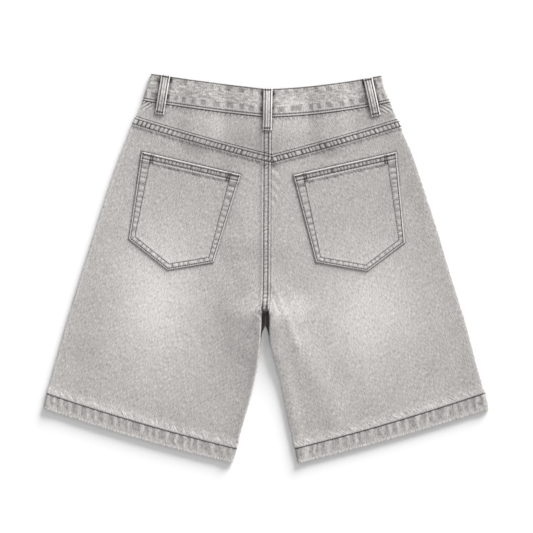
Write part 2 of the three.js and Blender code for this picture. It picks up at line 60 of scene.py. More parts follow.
# Air between the upper and the lower cloth, and how softly the upper one goes over laps and folds
AIR = 1.5
EDGE_AIR = 2.8
BAND_EDGE_AIR = 1.6
LEAST_AIR = 0.5
MOST_AIR = 3.2
HEM_SINK = 1.2
EASE = 46.0
LAP_CLEAR = 5.0
SIDE_FOLD = (4.0, 34.0)
INSEAM_FOLD = (4.0, 28.0)
INSEAM_RISE = (-135.0, -92.0)
CROTCH_REST = (16.0, 58.0)
SEAM_BULK = (8.6, 9.4)
SEAM_BULK_Y = -76.0


def table(columns, rows):
    """Named columns of a short table."""
    return dict(zip(columns, np.array(rows, dtype=float).T))


# Streaks of the worn twill lean down and away from the middle on both legs
GRAIN_LEAN = math.radians(28)

# A distance out of reach of every mark
FAR = 99.0

# Folded side edges of the laid garment, from the waist down
OUTLINE = table(("y", "left", "right"), [
    (282.8, -167.1, 166.4),
    (262.0, -174.3, 172.8),
    (244.5, -179.3, 179.3),
    (221.3, -189.0, 189.4),
    (201.0, -198.1, 198.1),
    (166.2, -211.8, 213.2),
    (114.0, -230.3, 230.8),
    (61.8, -246.6, 248.0),
    (0.0, -266.2, 266.4),
    (-77.4, -289.8, 290.2),
    (-129.6, -304.6, 304.0),
    (-203.0, -324.6, 324.3),
])

# Inseam folds from the crotch down, and the edge of the fronts where they show past the backs
INSEAM = table(("y", "left", "right"), [
    (-61.5, -6.1, 3.7),
    (-90.0, -7.5, 3.9),
    (-111.0, -8.8, 5.4),
    (-140.0, -12.2, 12.6),
    (-164.0, -17.2, 19.2),
    (-188.0, -23.0, 24.2),
    (-234.0, -36.3, 34.0),
    (-260.0, -42.7, 40.8),
    (-283.0, -48.9, 45.3),
])
FRONT_CROTCH = table(("y", "left", "right"), [
    (-83.0, -1.4, -1.0),
    (-90.0, -5.0, 1.7),
    (-98.0, -6.9, 3.3),
    (-111.0, -8.8, 5.4),
])
BACK_CROTCH_Y = -61.5
FRONT_CROTCH_Y = -83.0
CROTCH_REST_Y = -77.0
BACK_TURN = (0.0, 15.0)
FRONT_TURN = (5.0, 35.0)

# Seams across the garment: waist edge, waistband, yoke, hem and leg edge
LEVELS = table(("outL", "outR", "inL", "inR", "inF", "sagL", "sagR", "sagF"), [
    (282.8, 280.3, 260.3, 260.3, 238.0, 1.0, 3.4, 10.0),
    (244.5, 242.4, 220.1, 220.1, 198.0, 1.7, 4.4, 10.0),
    (220.5, 216.6, 166.5, 162.8, 150.0, 1.5, 1.1, 6.0),
    (-179.7, -178.2, -259.7, -259.4, -259.5, 3.3, 3.3, 3.3),
    (-202.3, -203.3, -281.9, -282.8, -282.3, 4.4, 3.0, 3.7),
])
WAIST = 0.0
BAND_SEAM = 1.0
YOKE_SEAM = 2.0
HEM_SEAM = 3.0
LEG_EDGE = 4.0
MID_LEG = 2.5
BAND_HEIGHT = LEVELS["inL"][0] - LEVELS["inL"][1]
YOKE_SIDE = LEVELS["outL"][1] - LEVELS["outL"][2]
YOKE_MIDDLE = LEVELS["inL"][1] - LEVELS["inL"][2]
YOKE_REACH = 190.0
LEG_LENGTH = LEVELS["inL"][2] - LEVELS["inL"][3]
HEM_HEIGHT = LEVELS["inL"][3] - LEVELS["inL"][4]

# Centre lines: x at the waist and at the crotch
MIDDLE = (1.8, -1.2)
SEAT_FOLD = table(("y", "x"), [
    (262.0, 7.3),
    (165.0, 6.9),
    (60.0, 6.4),
    (-25.0, 5.9),
    (-48.0, 5.0),
    (-61.5, 3.9),
])

# Laps of the fly and of the waistband, the zip behind them, and what the button lifts the cloth by
FLY = SimpleNamespace(over=8.0, under=6.0, bottom=50.0, fade=12.0, rise=1.5, ramp=16.0, low=22.0)
BAND_LAP = SimpleNamespace(over=16.0, under=22.0, rise=2.3, ramp=16.0)
ZIP_WIDTH = 22.0
BUTTON = SimpleNamespace(x=1.5, y=218.0, lift=2.5, near=11.0, far=62.0)

# Belt loops: middle of the upper end and of the lower end
LOOP = SimpleNamespace(width=13.0, thickness=1.9, arch=1.4, lift=2.3, near=2.0, far=30.0)
BACK_LOOPS = {
    "left": (-145.8, 280.4, -155.2, 223.7),
    "centre": (2.4, 261.2, 1.2, 200.1),
    "right": (147.2, 276.2, 159.3, 221.2),
}
FRONT_LOOPS = {
    "left": (-93.0, 253.6, -96.0, 195.6),
    "right": (93.0, 252.2, 96.0, 194.2),
}

# Back pockets: corners from the upper outer one round to the point
CORNERS = ("outer", "inner", "low", "tip", "out")
POCKET = SimpleNamespace(ply=1.3, border=2.0, top_band=13.5, least=0.5)
POCKETS = {
    "left": dict(outer=(-181.2, 170.8), inner=(-36.2, 136.9), low=(-76.3, 8.4),
                 tip=(-143.6, -2.9), out=(-200.2, 42.4)),
    "right": dict(outer=(189.0, 170.3), inner=(38.2, 136.4), low=(71.6, 8.6),
                  tip=(146.3, -4.6), out=(201.8, 37.4)),
}

# Soft folds of the upper cloth: a line, a width and a height, below zero for a trough
FOLDS = [
    (27, -60, 100, -220, 20, 0.9),
    (7, -22, 44, -111, 7, 0.7),
    (8, -45, 21, -78, 5, 0.4),
    (-6, -40, -31, -75, 6, 0.5),
    (-27, -82, -102, -234, 22, 0.8),
    (63, -89, 143, -227, 22, -0.6),
    (-75, -75, -147, -220, 24, -0.6),
    (-212, 56, -256, -89, 26, 0.6),
    (230, 49, 269, -118, 24, 0.6),
    (-140, -24, -147, -133, 28, -0.5),
    (150, -24, 165, -147, 30, -0.5),
    (-53, 42, -15, -46, 12, 0.5),
    (52, 44, 14, -34, 12, 0.5),
]

# Worn lines along sharp creases: how wide, pale and high, and the points that each runs through
CREASES = [
    (1.1, 0.50, 0.18, [(8, -20), (14, -32), (21, -45), (24, -58), (31, -74)]),
    (1.1, 0.62, 0.24, [(5.5, -33), (8, -43), (11.5, -52), (16.5, -64), (22, -76), (29, -92)]),
    (3.2, 0.22, 0.16, [(22, -48), (33, -72), (42, -96), (50, -128)]),
    (1.2, 0.34, 0.16, [(-6.5, -35), (-10, -44), (-14, -53), (-20, -64)]),
    (2.6, 0.22, 0.14, [(-8, -24), (-26, -42), (-44, -56)]),
    (4.5, 0.16, 0.12, [(11, -6), (30, -26), (48, -52)]),
    (4.0, -0.10, -0.14, [(12, -52), (22, -78), (34, -104)]),
    (3.6, -0.10, -0.12, [(-12, -58), (-22, -84), (-38, -112)]),
]

# Pale patches worn into the cloth: centre, spread and strength
FADES = [
    (-157, -38, 42, 68, 0.72),
    (-128, 26, 40, 26, 0.10),
    (152, -62, 46, 56, 0.58),
    (62, -100, 44, 52, 0.05),
    (118, 20, 50, 34, 0.14),
    (-36, 206, 44, 16, 0.06),
    (60, 196, 44, 14, 0.10),
    (-22, 70, 14, 60, 0.12),
    (-60, 212, 60, 16, 0.14),
    (258, -60, 18, 110, 0.03),
]
# Darker patches, in the same columns: the first five, round the crotch, are painted shade
SHADES = [
    (-46, -70, 26, 46, 0.09),
    (-14, -65, 5, 5, 0.24),
    (-9, -71.5, 3.5, 4, 0.34),
    (7, -70, 3.5, 5, 0.14),
    (24, -60, 11, 15, 0.07),
    (30, -205, 30, 60, 0.03),
    (-60, 150, 30, 12, 0.05),
    (-262, -90, 22, 60, 0.05),
    (-150, -238, 120, 22, 0.04),
    (170, -232, 120, 22, 0.04),
]


def mix(a, b, f):
    return a + (b - a) * f


def ramp(value, low, high):
    f = np.clip((value - low) / (high - low), 0.0, 1.0)
    return f * f * (3.0 - 2.0 * f)


def fall(value, low, high):
    """1 up to low, falling smoothly to 0 at high."""
    return 1.0 - ramp(value, low, high)


def within(value, low, high, soft):
    """1 between low and high, falling off over soft outside them."""
    return ramp(value, low - soft, low) * fall(value, high, high + soft)


def bell(value, at, width):
    return np.exp(-(((value - at) / width) ** 2))


def spot(face, x, y, wide, high):
    """A soft mark round a point of the plan."""
    return np.exp(-((face.x - x) / wide) ** 2 - ((face.y - y) / high) ** 2)


def evened(values, reach):
    """Values averaged with their neighbours within reach."""
    count = 2 * reach + 1
    return np.convolve(np.pad(values, reach, mode="edge"), np.ones(count) / count, mode="valid")


def run_along(points):
    """Distance along a line of points, for each of them."""
    step = np.linalg.norm(np.diff(points, axis=0), axis=1)
    return np.concatenate([[0.0], np.cumsum(step)])


def read_table(rows, key, y):
    """Smooth curve through a table whose rows go down in y, straight past its ends."""
    ys = rows["y"]
    values = rows[key]
    last = len(ys) - 1
    before = np.maximum(np.arange(last + 1) - 1, 0)
    after = np.minimum(np.arange(last + 1) + 1, last)
    slope = (values[after] - values[before]) / (ys[after] - ys[before])
    y = np.asarray(y, dtype=float)
    i = np.clip(np.searchsorted(-ys, -y, side="right") - 1, 0, last - 1)
    span = ys[i + 1] - ys[i]
    f = (y - ys[i]) / span
    f2 = f * f
    f3 = f2 * f
    curve = ((2 * f3 - 3 * f2 + 1) * values[i] + (f3 - 2 * f2 + f) * span * slope[i]
             + (3 * f2 - 2 * f3) * values[i + 1] + (f3 - f2) * span * slope[i + 1])
    above = values[0] + slope[0] * (y - ys[0])
    under = values[last] + slope[last] * (y - ys[last])
    return np.where(y >= ys[0], above, np.where(y <= ys[last], under, curve))


def distance_to(x, y, line):
    x1, y1, x2, y2 = line[:4]
    dx = x2 - x1
    dy = y2 - y1
    f = np.clip(((x - x1) * dx + (y - y1) * dy) / (dx * dx + dy * dy), 0.0, 1.0)
    return np.hypot(x - x1 - f * dx, y - y1 - f * dy)


def level_value(t, key):
    return np.interp(t, np.arange(5), LEVELS[key])


def ply_at(t):
    return np.where(t < BAND_SEAM, BAND, np.where(t < HEM_SEAM, CLOTH, HEM))


def along_middle(line, y):
    top = LEVELS["inL"][0]
    return mix(line[0], line[1], (top - y) / (top - BACK_CROTCH_Y))


def sagging(sag, u):
    return sag * 4.0 * u * (1.0 - u)


# Uneven, repeatable variation
LATTICE = np.random.default_rng(20).uniform(-1.0, 1.0, (256, 256))


def noise(seed, x, y):
    """Smooth noise from -1 to 1, with about one wave in two units."""
    x = np.asarray(x, dtype=float) + 17.13 * seed
    y = np.asarray(y, dtype=float) + 5.71 * seed
    i = np.floor(x).astype(int)
    j = np.floor(y).astype(int)
    f = x - i
    g = y - j
    f = f * f * (3.0 - 2.0 * f)
    g = g * g * (3.0 - 2.0 * g)
    i0 = i % 256
    i1 = (i + 1) % 256
    j0 = j % 256
    j1 = (j + 1) % 256
    low = mix(LATTICE[i0, j0], LATTICE[i1, j0], f)
    high = mix(LATTICE[i0, j1], LATTICE[i1, j1], f)
    return mix(low, high, g)


def waves(seed, s, pitch, wander=0.45):
    """Uneven waves along s, from -1 in the valleys to 1 on the crests."""
    phase = s / pitch + wander * noise(seed, s / (1.6 * pitch), 0.0)
    strength = 0.74 + 0.26 * noise(seed + 1, s / (1.3 * pitch), 9.0)
    return strength * np.cos(2.0 * math.pi * phase)


def front_band_at(x, y):
    """1 where the front waistband lies under this point, eased off below it."""
    u = np.minimum(1.0, np.abs(x) / OUTLINE["right"][2])
    seam_y = mix(LEVELS["inF"][1], LEVELS["outL"][1], u) - sagging(LEVELS["sagF"][1], u)
    return ramp(y, seam_y - mix(58.0, 16.0, u), seam_y + 1.0)


def lift_at(x, y):
    """What the lower cloth is raised by: the button and the front loops that it lies on."""
    button = fall(np.hypot(x - BUTTON.x, y - BUTTON.y), BUTTON.near, BUTTON.far)
    clear = 1.0 - button
    for loop in FRONT_LOOPS.values():
        away = distance_to(x, y, loop) - LOOP.width / 2.0
        clear = clear * (1.0 - fall(away, LOOP.near, LOOP.far) * LOOP.lift / BUTTON.lift)
    return BUTTON.lift * (1.0 - clear)


def lower_top_at(x, y, t):
    """Top of the lower cloth with its laps, smoothed wide enough to lay the upper cloth on."""
    band = front_band_at(x, y)
    fly_x = (ramp(x, -FLY.under - ZIP_WIDTH - EASE, -FLY.under - ZIP_WIDTH)
             * fall(x, FLY.over + LAP_CLEAR, FLY.over + LAP_CLEAR + EASE))
    fly_y = ramp(y, FLY.bottom - EASE, FLY.bottom - LAP_CLEAR)
    lap_x = (ramp(x, -BAND_LAP.under - EASE, -BAND_LAP.under)
             * fall(x, BAND_LAP.over + LAP_CLEAR, BAND_LAP.over + LAP_CLEAR + EASE))
    ply = np.where(t > HEM_SEAM, HEM, CLOTH)
    return (lift_at(x, y) + ply + (BAND - CLOTH) * band
            + FLY.rise * np.maximum(fly_x * fly_y, lap_x * band)
            + (BAND_LAP.rise - FLY.rise) * lap_x * band)


def drape(x, y):
    """Slight unevenness of cloth that lies under its own weight."""
    broad = noise(3, x / 34.0, y / 46.0)
    fine = noise(4, x / 13.0, y / 19.0)
    return 0.16 * broad + 0.05 * fine


def air_at(x, y, t):
    side = np.minimum(x - read_table(OUTLINE, "left", y), read_table(OUTLINE, "right", y) - x)
    low = np.minimum(y, BACK_CROTCH_Y)
    edge_x = np.where(x < MIDDLE[1], read_table(INSEAM, "left", low), read_table(INSEAM, "right", low))
    inseam = np.abs(x - edge_x)
    near_side = fall(side, *SIDE_FOLD)
    near_inseam = fall(inseam, *INSEAM_FOLD) * fall(y, *INSEAM_RISE)
    edge = np.maximum(near_side, near_inseam)
    edge_air = mix(EDGE_AIR, BAND_EDGE_AIR, front_band_at(x, y))
    air = AIR + drape(x, y)
    for fold in FOLDS:
        away = distance_to(x, y, fold) / fold[4]
        air = air + fold[5] * np.exp(-away * away)
    air = mix(air, edge_air, edge)
    from_crotch = np.hypot(x - MIDDLE[1], y - CROTCH_REST_Y)
    air = mix(LEAST_AIR, air, ramp(from_crotch, *CROTCH_REST))
    air = air - np.where(t > HEM_SEAM, HEM_SINK, 0.0)
    return np.clip(air, LEAST_AIR, MOST_AIR)


def seam_bulk(x, y):
    """The cloth stands up where four felled seams meet at the crotch."""
    right = ramp(x, MIDDLE[1] - 9.0, MIDDLE[1] + 9.0)
    wide = mix(42.0, 52.0, right)
    high = np.where(y > SEAM_BULK_Y, 26.0, mix(74.0, 66.0, right))
    hump = np.exp(-((x - MIDDLE[1]) / wide) ** 2 - ((y - SEAM_BULK_Y) / high) ** 2)
    return mix(*SEAM_BULK, right) * hump


def upper_top_at(x, y, t):
    return lower_top_at(x, y, t) + air_at(x, y, t) + seam_bulk(x, y) + ply_at(t)


def cloth_piece(side, layer, kind="leg"):
    """What places a piece: its side, layer and kind, the gap at its folds and the ridge at the seat."""
    return SimpleNamespace(side=side, layer=layer, kind=kind, seam=GAP / 2.0 if kind == "leg" else 0.0,
                           seat_ridge=RIDGE if (side, layer) == ("left", "back") else 0.0)


def inner_x(piece, y):
    """Where a row ends: on the inseam, or at the middle of the garment."""
    middle = along_middle(MIDDLE, y)
    if piece.kind == "band":
        return middle
    crotch = BACK_CROTCH_Y if piece.layer == "back" else FRONT_CROTCH_Y
    edge = read_table(INSEAM, piece.side, y)
    if piece.layer == "front":
        edge = np.where(y > FRONT_CROTCH["y"][3], read_table(FRONT_CROTCH, piece.side, y), edge)
    return np.where(y >= crotch, middle, edge)


def over_at(piece, y):
    """How far a piece reaches past the middle: the seat seam is felled to the right, the front laps."""
    left = piece.side == "left"
    if piece.kind == "band":
        if piece.layer == "back":
            return np.zeros_like(y)
        return np.full_like(y, BAND_LAP.over if left else BAND_LAP.under)
    if piece.layer == "back":
        past = read_table(SEAT_FOLD, "x", y) - along_middle(MIDDLE, y)
        return np.where(y < BACK_CROTCH_Y, 0.0, (past if left else -past) - GAP / 2.0)
    lap = (FLY.over if left else FLY.under) * ramp(y, FLY.bottom, FLY.bottom + FLY.fade)
    return np.where(y < FRONT_CROTCH_Y, 0.0, lap - GAP / 2.0)


def lap_rise(piece, x, y):
    """The right front climbs over the lap of the left one, and so does the waistband's end."""
    if piece.layer != "front" or piece.side != "right":
        return 0.0
    lap = BAND_LAP if piece.kind == "band" else FLY
    over = lap.rise * fall(x, lap.over + 3.0, lap.over + 3.0 + lap.ramp)
    return over if piece.kind == "band" else over * ramp(y, FLY.low, FLY.bottom - 4.0)


def turn_at(piece, y):
    """How far the inner edge is folded round: not at the centre seams, fully down the inseam."""
    if piece.kind == "band":
        return np.zeros_like(y)
    if piece.layer == "back":
        return ramp(BACK_CROTCH_Y - y, *BACK_TURN)
    return ramp(FRONT_CROTCH_Y - y, *FRONT_TURN)


def span_at(piece, t):
    """Ends of the lines across a leg at the seam heights t, given as one column."""
    hand = "L" if piece.side == "left" else "R"
    out_y = level_value(t, "out" + hand)
    if piece.layer == "back":
        in_y = level_value(t, "in" + hand)
        sag = level_value(t, "sag" + hand)
    else:
        in_y = np.where(t >= HEM_SEAM, level_value(t, "in" + hand), level_value(t, "inF"))
        sag = np.where(t >= HEM_SEAM, level_value(t, "sag" + hand), level_value(t, "sagF"))
    out_x = read_table(OUTLINE, piece.side, out_y)
    in_x = inner_x(piece, in_y)
    length = np.hypot(in_x - out_x, in_y - out_y)
    return SimpleNamespace(
        out=(out_x, out_y), end=(in_x, in_y),
        dir=((in_x - out_x) / length, (in_y - out_y) / length),
        length=length, reach=length + over_at(piece, in_y), sag=sag, turn=turn_at(piece, in_y))


def face_z(piece, x, y, t, depth, ridge):
    if piece.layer == "back":
        return upper_top_at(x, y, t) + ridge - depth
    return lift_at(x, y) + lap_rise(piece, x, y) + depth


def curled(piece, span, end, t, f, depth, ridge):
    """Points round a folded edge, f from 0 on the fold to 1 where the cloth is flat again."""
    way = 1.0 if end == "out" else -1.0
    start = span.out if end == "out" else span.end
    radius = ply_at(t) + CURL
    x = start[0] + way * span.dir[0] * radius
    y = start[1] + way * span.dir[1] * radius
    top = upper_top_at(x, y, t)
    bottom = lift_at(x, y)
    half = (top - bottom) / 2.0
    angle = f * math.pi / 2.0
    inset = radius - (radius + ridge - depth) * np.cos(angle)
    up = np.maximum(piece.seam, (half + ridge - depth) * np.sin(angle))
    z = (top + bottom) / 2.0 + (up if piece.layer == "back" else -up)
    return np.stack(np.broadcast_arrays(
        start[0] + way * span.dir[0] * inset, start[1] + way * span.dir[1] * inset, z), axis=-1)


def flat_points(piece, span, t, along, depth, ridge):
    u = np.minimum(1.0, along / span.length)
    past = np.maximum(0.0, along - span.length) if piece.kind == "band" else 0.0
    x = span.out[0] + span.dir[0] * along
    y = span.out[1] + span.dir[1] * (along - 2.0 * past) - sagging(span.sag, u)
    z = face_z(piece, x, y, t, depth, ridge)
    return np.stack(np.broadcast_arrays(x, y, z), axis=-1)


# Every fourth point of an outer face has a partner on the inner one
COARSE = 4


def graded(length, step, start, end):
    """Distances from 0 to length, with (step, reach) of the closer ones at either end."""
    s = np.linspace(0.0, length, 6001)
    size = np.full_like(s, step)
    for away, (fine, reach) in ((s, start), (length - s, end)):
        size = mix(fine, size, ramp(away, reach, reach * 1.5 + 3.0))
    count = np.concatenate([[0.0], np.cumsum((1.0 / size)[1:] * np.diff(s))])
    steps = int(math.ceil(count[-1] / COARSE)) * COARSE
    return np.interp(np.linspace(0.0, count[-1], steps + 1), count, s)


def normals_of(points, wrap=False):
    """Unit normals of a grid of points, towards the side that its rows and columns turn to."""
    if wrap:
        points = np.concatenate([points[:, -2:], points, points[:, :2]], axis=1)
    down = np.gradient(points, axis=0)
    across = np.gradient(points, axis=1)
    normal = np.cross(across, down)
    normal /= np.maximum(np.linalg.norm(normal, axis=-1, keepdims=True), 1e-9)
    return normal[:, 2:-2] if wrap else normal


class Face:
    """A grid of cloth points, with the distances that its details are placed by."""

    def __init__(self, points, wrap=False, **distances):
        self.points = points
        self.wrap = wrap
        self.shape = points.shape[:2]
        self.light = np.zeros(self.shape)
        self.dark = np.zeros(self.shape)
        self.height = np.zeros(self.shape)
        self.pulled = np.zeros(self.shape)
        self.stroke_x = np.zeros(self.shape)
        self.stroke_y = np.zeros(self.shape)
        for name, value in distances.items():
            setattr(self, name, np.broadcast_to(value, self.shape))
        self.x = points[..., 0]
        self.y = points[..., 1]

    def find_normals(self, outward, columns=slice(None)):
        """Normals of the side that shows outward in the given columns."""
        self.normal = normals_of(self.points, self.wrap)
        if np.sum(self.normal[:, columns] * outward) < 0:
            self.normal = -self.normal

    def raise_relief(self, outward, columns=slice(None)):
        """Moves the points out by the height map."""
        self.find_normals(outward, columns)
        self.points = self.points + self.normal * self.height[..., None]

    def at(self, rows, cols):
        """Points and normals at fractional rows and columns."""
        rows = np.clip(rows, 0.0, self.shape[0] - 1.001)
        cols = np.clip(cols, 0.0, self.shape[1] - 1.001)
        i = np.floor(rows).astype(int)
        j = np.floor(cols).astype(int)
        f = (rows - i)[:, None]
        g = (cols - j)[:, None]
        found = []
        for values in (self.points, self.normal):
            low = mix(values[i, j], values[i, j + 1], g)
            high = mix(values[i + 1, j], values[i + 1, j + 1], g)
            found.append(mix(low, high, f))
        return found


SHARP_ANGLE = math.radians(62)


def bridge(fine, coarse):
    """Triangles between a fine edge and a coarse one that has every fourth of its points."""
    steps = (len(fine) - 1) // (len(coarse) - 1)
    half = steps // 2
    faces = []
    for j in range(len(coarse) - 1):
        for m in range(steps):
            near = coarse[j] if m < half else coarse[j + 1]
            faces.append((fine[j * steps + m], fine[j * steps + m + 1], near))
        faces.append((fine[j * steps + half], coarse[j + 1], coarse[j]))
    return faces


def grid_quads(rows, cols, first, wrap):
    index = first + np.arange(rows * cols).reshape(rows, cols)
    nxt = np.roll(index, -1, axis=1) if wrap else index[:, 1:]
    here = index if wrap else index[:, :-1]
    return np.stack([here[:-1], nxt[:-1], nxt[1:], here[1:]], axis=-1).reshape(-1, 4)


def make_mesh(name, points, quads, triangles, wear_and_shade=None, grain=None, strokes=None):
    """A mesh object from points in millimetres, with its worn tone, painted shade and painted light, and its
    grain coordinates.
    """
    mesh = bpy.data.meshes.new(name)
    points = np.maximum(points, (-np.inf, -np.inf, 0.0))
    quads = np.asarray(quads, dtype=np.int64).reshape(-1, 4)
    triangles = np.asarray(triangles, dtype=np.int64).reshape(-1, 3)
    mesh.vertices.add(len(points))
    mesh.vertices.foreach_set("co", (points * METRE).ravel())
    mesh.loops.add(quads.size + triangles.size)
    corners = np.concatenate([quads.ravel(), triangles.ravel()])
    mesh.loops.foreach_set("vertex_index", corners)
    mesh.polygons.add(len(quads) + len(triangles))
    starts = np.concatenate([np.arange(len(quads)) * 4, quads.size + np.arange(len(triangles)) * 3])
    mesh.polygons.foreach_set("loop_start", starts)
    mesh.update(calc_edges=True)
    # Worn tone together with painted shade and painted light, as one colour per point
    if wear_and_shade is not None:
        values = np.column_stack([np.clip(wear_and_shade, 0.0, 1.0), np.ones(len(points))])
        colour = mesh.color_attributes.new("wear_and_shade", "FLOAT_COLOR", "POINT")
        colour.data.foreach_set("color", values.ravel())
    for layer_name, places in (("grain", grain), ("strokes", strokes)):
        if places is not None:
            layer = mesh.uv_layers.new(name=layer_name)
            layer.data.foreach_set("uv", (places[corners] * METRE).ravel())
    body = bmesh.new()
    body.from_mesh(mesh)
    bmesh.ops.recalc_face_normals(body, faces=body.faces)
    body.to_mesh(mesh)
    body.free()
    mesh.shade_smooth()
    mesh.set_sharp_from_angle(angle=SHARP_ANGLE)
    made = bpy.data.objects.new(name, mesh)
    bpy.context.scene.collection.objects.link(made)
    return made


# Tone of the inner face, and the painted shade on it at the crotch
INSIDE_LIGHT = 0.10
INSIDE_DARK = 0.22
INSIDE_CROTCH_SHADE = 0.88


def make_shell(name, face, inner):
    """A wall from a fine outer face and the inner face, of which every fourth point is used."""
    rows, cols = face.shape
    coarse = inner[::COARSE, ::COARSE]
    r, c = coarse.shape[:2]
    outer_count = rows * cols
    quads = [grid_quads(rows, cols, 0, face.wrap), grid_quads(r, c, outer_count, face.wrap)]
    fine_index = np.arange(outer_count).reshape(rows, cols)
    coarse_index = outer_count + np.arange(r * c).reshape(r, c)
    triangles = []
    for row in (0, -1):
        fine = fine_index[row]
        rough = coarse_index[row]
        if face.wrap:
            fine = np.append(fine, fine[0])
            rough = np.append(rough, rough[0])
        triangles += bridge(fine, rough)
    if not face.wrap:
        for col in (0, -1):
            triangles += bridge(fine_index[:, col], coarse_index[:, col])
    points = np.concatenate([face.points.reshape(-1, 3), coarse.reshape(-1, 3)])
    # The inner face gets painted shade at the crotch
    inner_dark_and_shade = np.maximum(INSIDE_DARK, INSIDE_CROTCH_SHADE * crotch_shade(coarse[..., 0], coarse[..., 1]))
    outer_wear_and_shade = np.stack([face.light, face.dark, face.pulled], axis=-1)
    inner_wear_and_shade = np.stack([np.full((r, c), INSIDE_LIGHT), inner_dark_and_shade, np.zeros((r, c))], axis=-1)
    wear_and_shade = np.concatenate([outer_wear_and_shade.reshape(-1, 3), inner_wear_and_shade.reshape(-1, 3)])
    layers = []
    strokes = np.stack([face.stroke_x, face.stroke_y], axis=-1)
    for outer in (getattr(face, "grain", np.stack([face.across, face.down], axis=-1)), strokes):
        layers.append(np.concatenate([outer.reshape(-1, 2), outer[::COARSE, ::COARSE].reshape(-1, 2)]))
    return make_mesh(name + "_cloth", points, np.concatenate(quads), triangles, wear_and_shade, *layers)


# Columns of a leg piece: their distances from its inner edge, and how far round each fold they lie
INNER_D = np.array([18.0, 16.6, 15.3, 14.2, 13.2, 12.3, 11.5, 10.8, 10.1, 9.4, 8.4, 7.4, 6.4, 5.5, 4.6, 3.8,
                    3.0, 2.2, 1.4, 0.7, 0.0])
INNER_BEND = np.linspace(1.0, 0.0, len(INNER_D))
BEND = np.array([0.16, 0.34, 0.5, 0.67, 0.84])
OUTER_BEND = np.append(0.0, BEND)

# Columns of the flat stretch of each piece
COLUMNS = {"back": 204, "yoke": 196, "front": 108, "band": 149, "hem": 213}


def leg_grid(piece, t, flat_count, inset, row_ridge):
    """One face of a leg piece: rows at the heights t, from the side fold to the inner edge."""
    t = t[:, None]
    span = span_at(piece, t)
    ply = ply_at(t)
    depth = inset * ply
    outward = 1.0 - inset
    ridge_here = outward * row_ridge[:, None]
    first = ply + CURL
    last = mix(INNER_D[0], first, span.turn)
    bend = OUTER_BEND[None, :]
    outer = curled(piece, span, "out", t, bend, depth, ridge_here)
    u = np.linspace(0.0, 1.0, flat_count + 1)[None, :]
    along = mix(first, span.reach - last, u)
    flat = flat_points(piece, span, t, along, depth, ridge_here)
    away = INNER_D[None, 1:]
    profile = fall(away, SEAT_RIDGE, SEAT_RIDGE + 6.0)
    seat = piece.seat_ridge * profile * ramp(span.end[1], BACK_CROTCH_Y, BACK_CROTCH_Y + 12.0)
    ridge = outward * np.maximum(row_ridge[:, None], seat)
    level = flat_points(piece, span, t, span.reach - away, depth, ridge)
    rounded = curled(piece, span, "in", t, INNER_BEND[None, 1:], depth, ridge_here)
    inner = mix(level, rounded, np.broadcast_to(span.turn, level.shape[:2])[..., None])
    points = np.concatenate([outer, flat, inner], axis=1)
    arc = first * 1.3
    s_outer = np.broadcast_to(bend * arc, outer.shape[:2])
    s_flat = arc + along - first
    gap_in = mix(np.broadcast_to(away, inner.shape[:2]), INNER_BEND[None, 1:] * first, span.turn)
    s_inner = arc - first + span.reach - gap_in
    across = np.concatenate([s_outer, np.broadcast_to(s_flat, flat.shape[:2]), s_inner], axis=1)
    to_inner = np.concatenate([
        span.reach - s_outer, np.broadcast_to(span.reach - along, flat.shape[:2]), gap_in], axis=1)
    span.grain_x = span.out[0] + span.dir[0] * (first - arc + across)
    return points, across, to_inner, span


def leg_rows(t_from, t_to, length, step, start, end):
    s = graded(length, step, start, end)
    return s, mix(t_from, t_to, s / length)


def leaning(x, y, side):
    """Grain coordinates, first across the streaks of the twill and then along them."""
    lean = GRAIN_LEAN if side == "left" else -GRAIN_LEAN
    return np.stack([x * math.cos(lean) - y * math.sin(lean),
                     x * math.sin(lean) + y * math.cos(lean)], axis=-1)


def leg_face(piece, t, down, flat_count, ridges):
    # The columns are a multiple of four and one more, so that every fourth one ends at the edge
    flat_count = flat_count // COARSE * COARSE + -(len(OUTER_BEND) + len(INNER_D) - 1) % COARSE
    points, across, to_inner, span = leg_grid(piece, t, flat_count, 0.0, ridges)
    inner, *_ = leg_grid(piece, t, flat_count, 1.0, ridges)
    face = Face(points, across=across, down=down[:, None], to_bottom=(down[-1] - down)[:, None],
                to_inner=to_inner, turn=span.turn, above=span.end[1] >= BACK_CROTCH_Y)
    face.grain = leaning(span.grain_x, points[..., 1], piece.side)
    return face, inner


# Pale worn patches, darker patches, and painted shade round the crotch
def add_fades_and_shade(face, amount=1.0):
    for values, patches in ((face.light, FADES), (face.dark, SHADES)):
        for x, y, wide, high, strength in patches:
            patch = np.exp(-((face.x - x) / wide) ** 2 / 2.0 - ((face.y - y) / high) ** 2 / 2.0)
            values += amount * strength * patch


def add_side_wear_and_light(face):
    """The folded side edges are worn a little paler. Painted light on folds that face away from the light:
    the left side edges, and the inseams, most on the right leg. A little painted shade just in from the
    inseams.
    """
    face.light += 0.30 * fall(face.across, 2.0, 8.0)
    if face.x.mean() < 0.0:
        face.light += 0.40 * fall(face.across, 0.8, 3.2)
    inseam = np.where(face.y < FRONT_CROTCH_Y - 1.0, face.to_inner, FAR)
    face.light += np.where(face.x < 0.0, 0.20, 1.0) * fall(inseam, 1.4, 3.0)
    face.dark += 0.10 * within(inseam, 2.5, 7.0, 6.0)


def add_mottle(face, seed, amount=1.0):
    """Faint uneven tone, longer down the grain than across it."""
    tone = (0.030 * noise(seed, face.x / 9.0, face.y / 15.0)
            + 0.022 * noise(seed + 1, face.x / 3.4, face.y / 8.0)
            + 0.02 * noise(seed + 2, face.x / 28.0, face.y / 34.0)) * amount
    face.light += np.maximum(tone, 0.0) * 1.6
    face.dark += np.maximum(-tone, 0.0)
    face.height += 0.035 * noise(seed + 3, face.x / 3.1, face.y / 5.2)


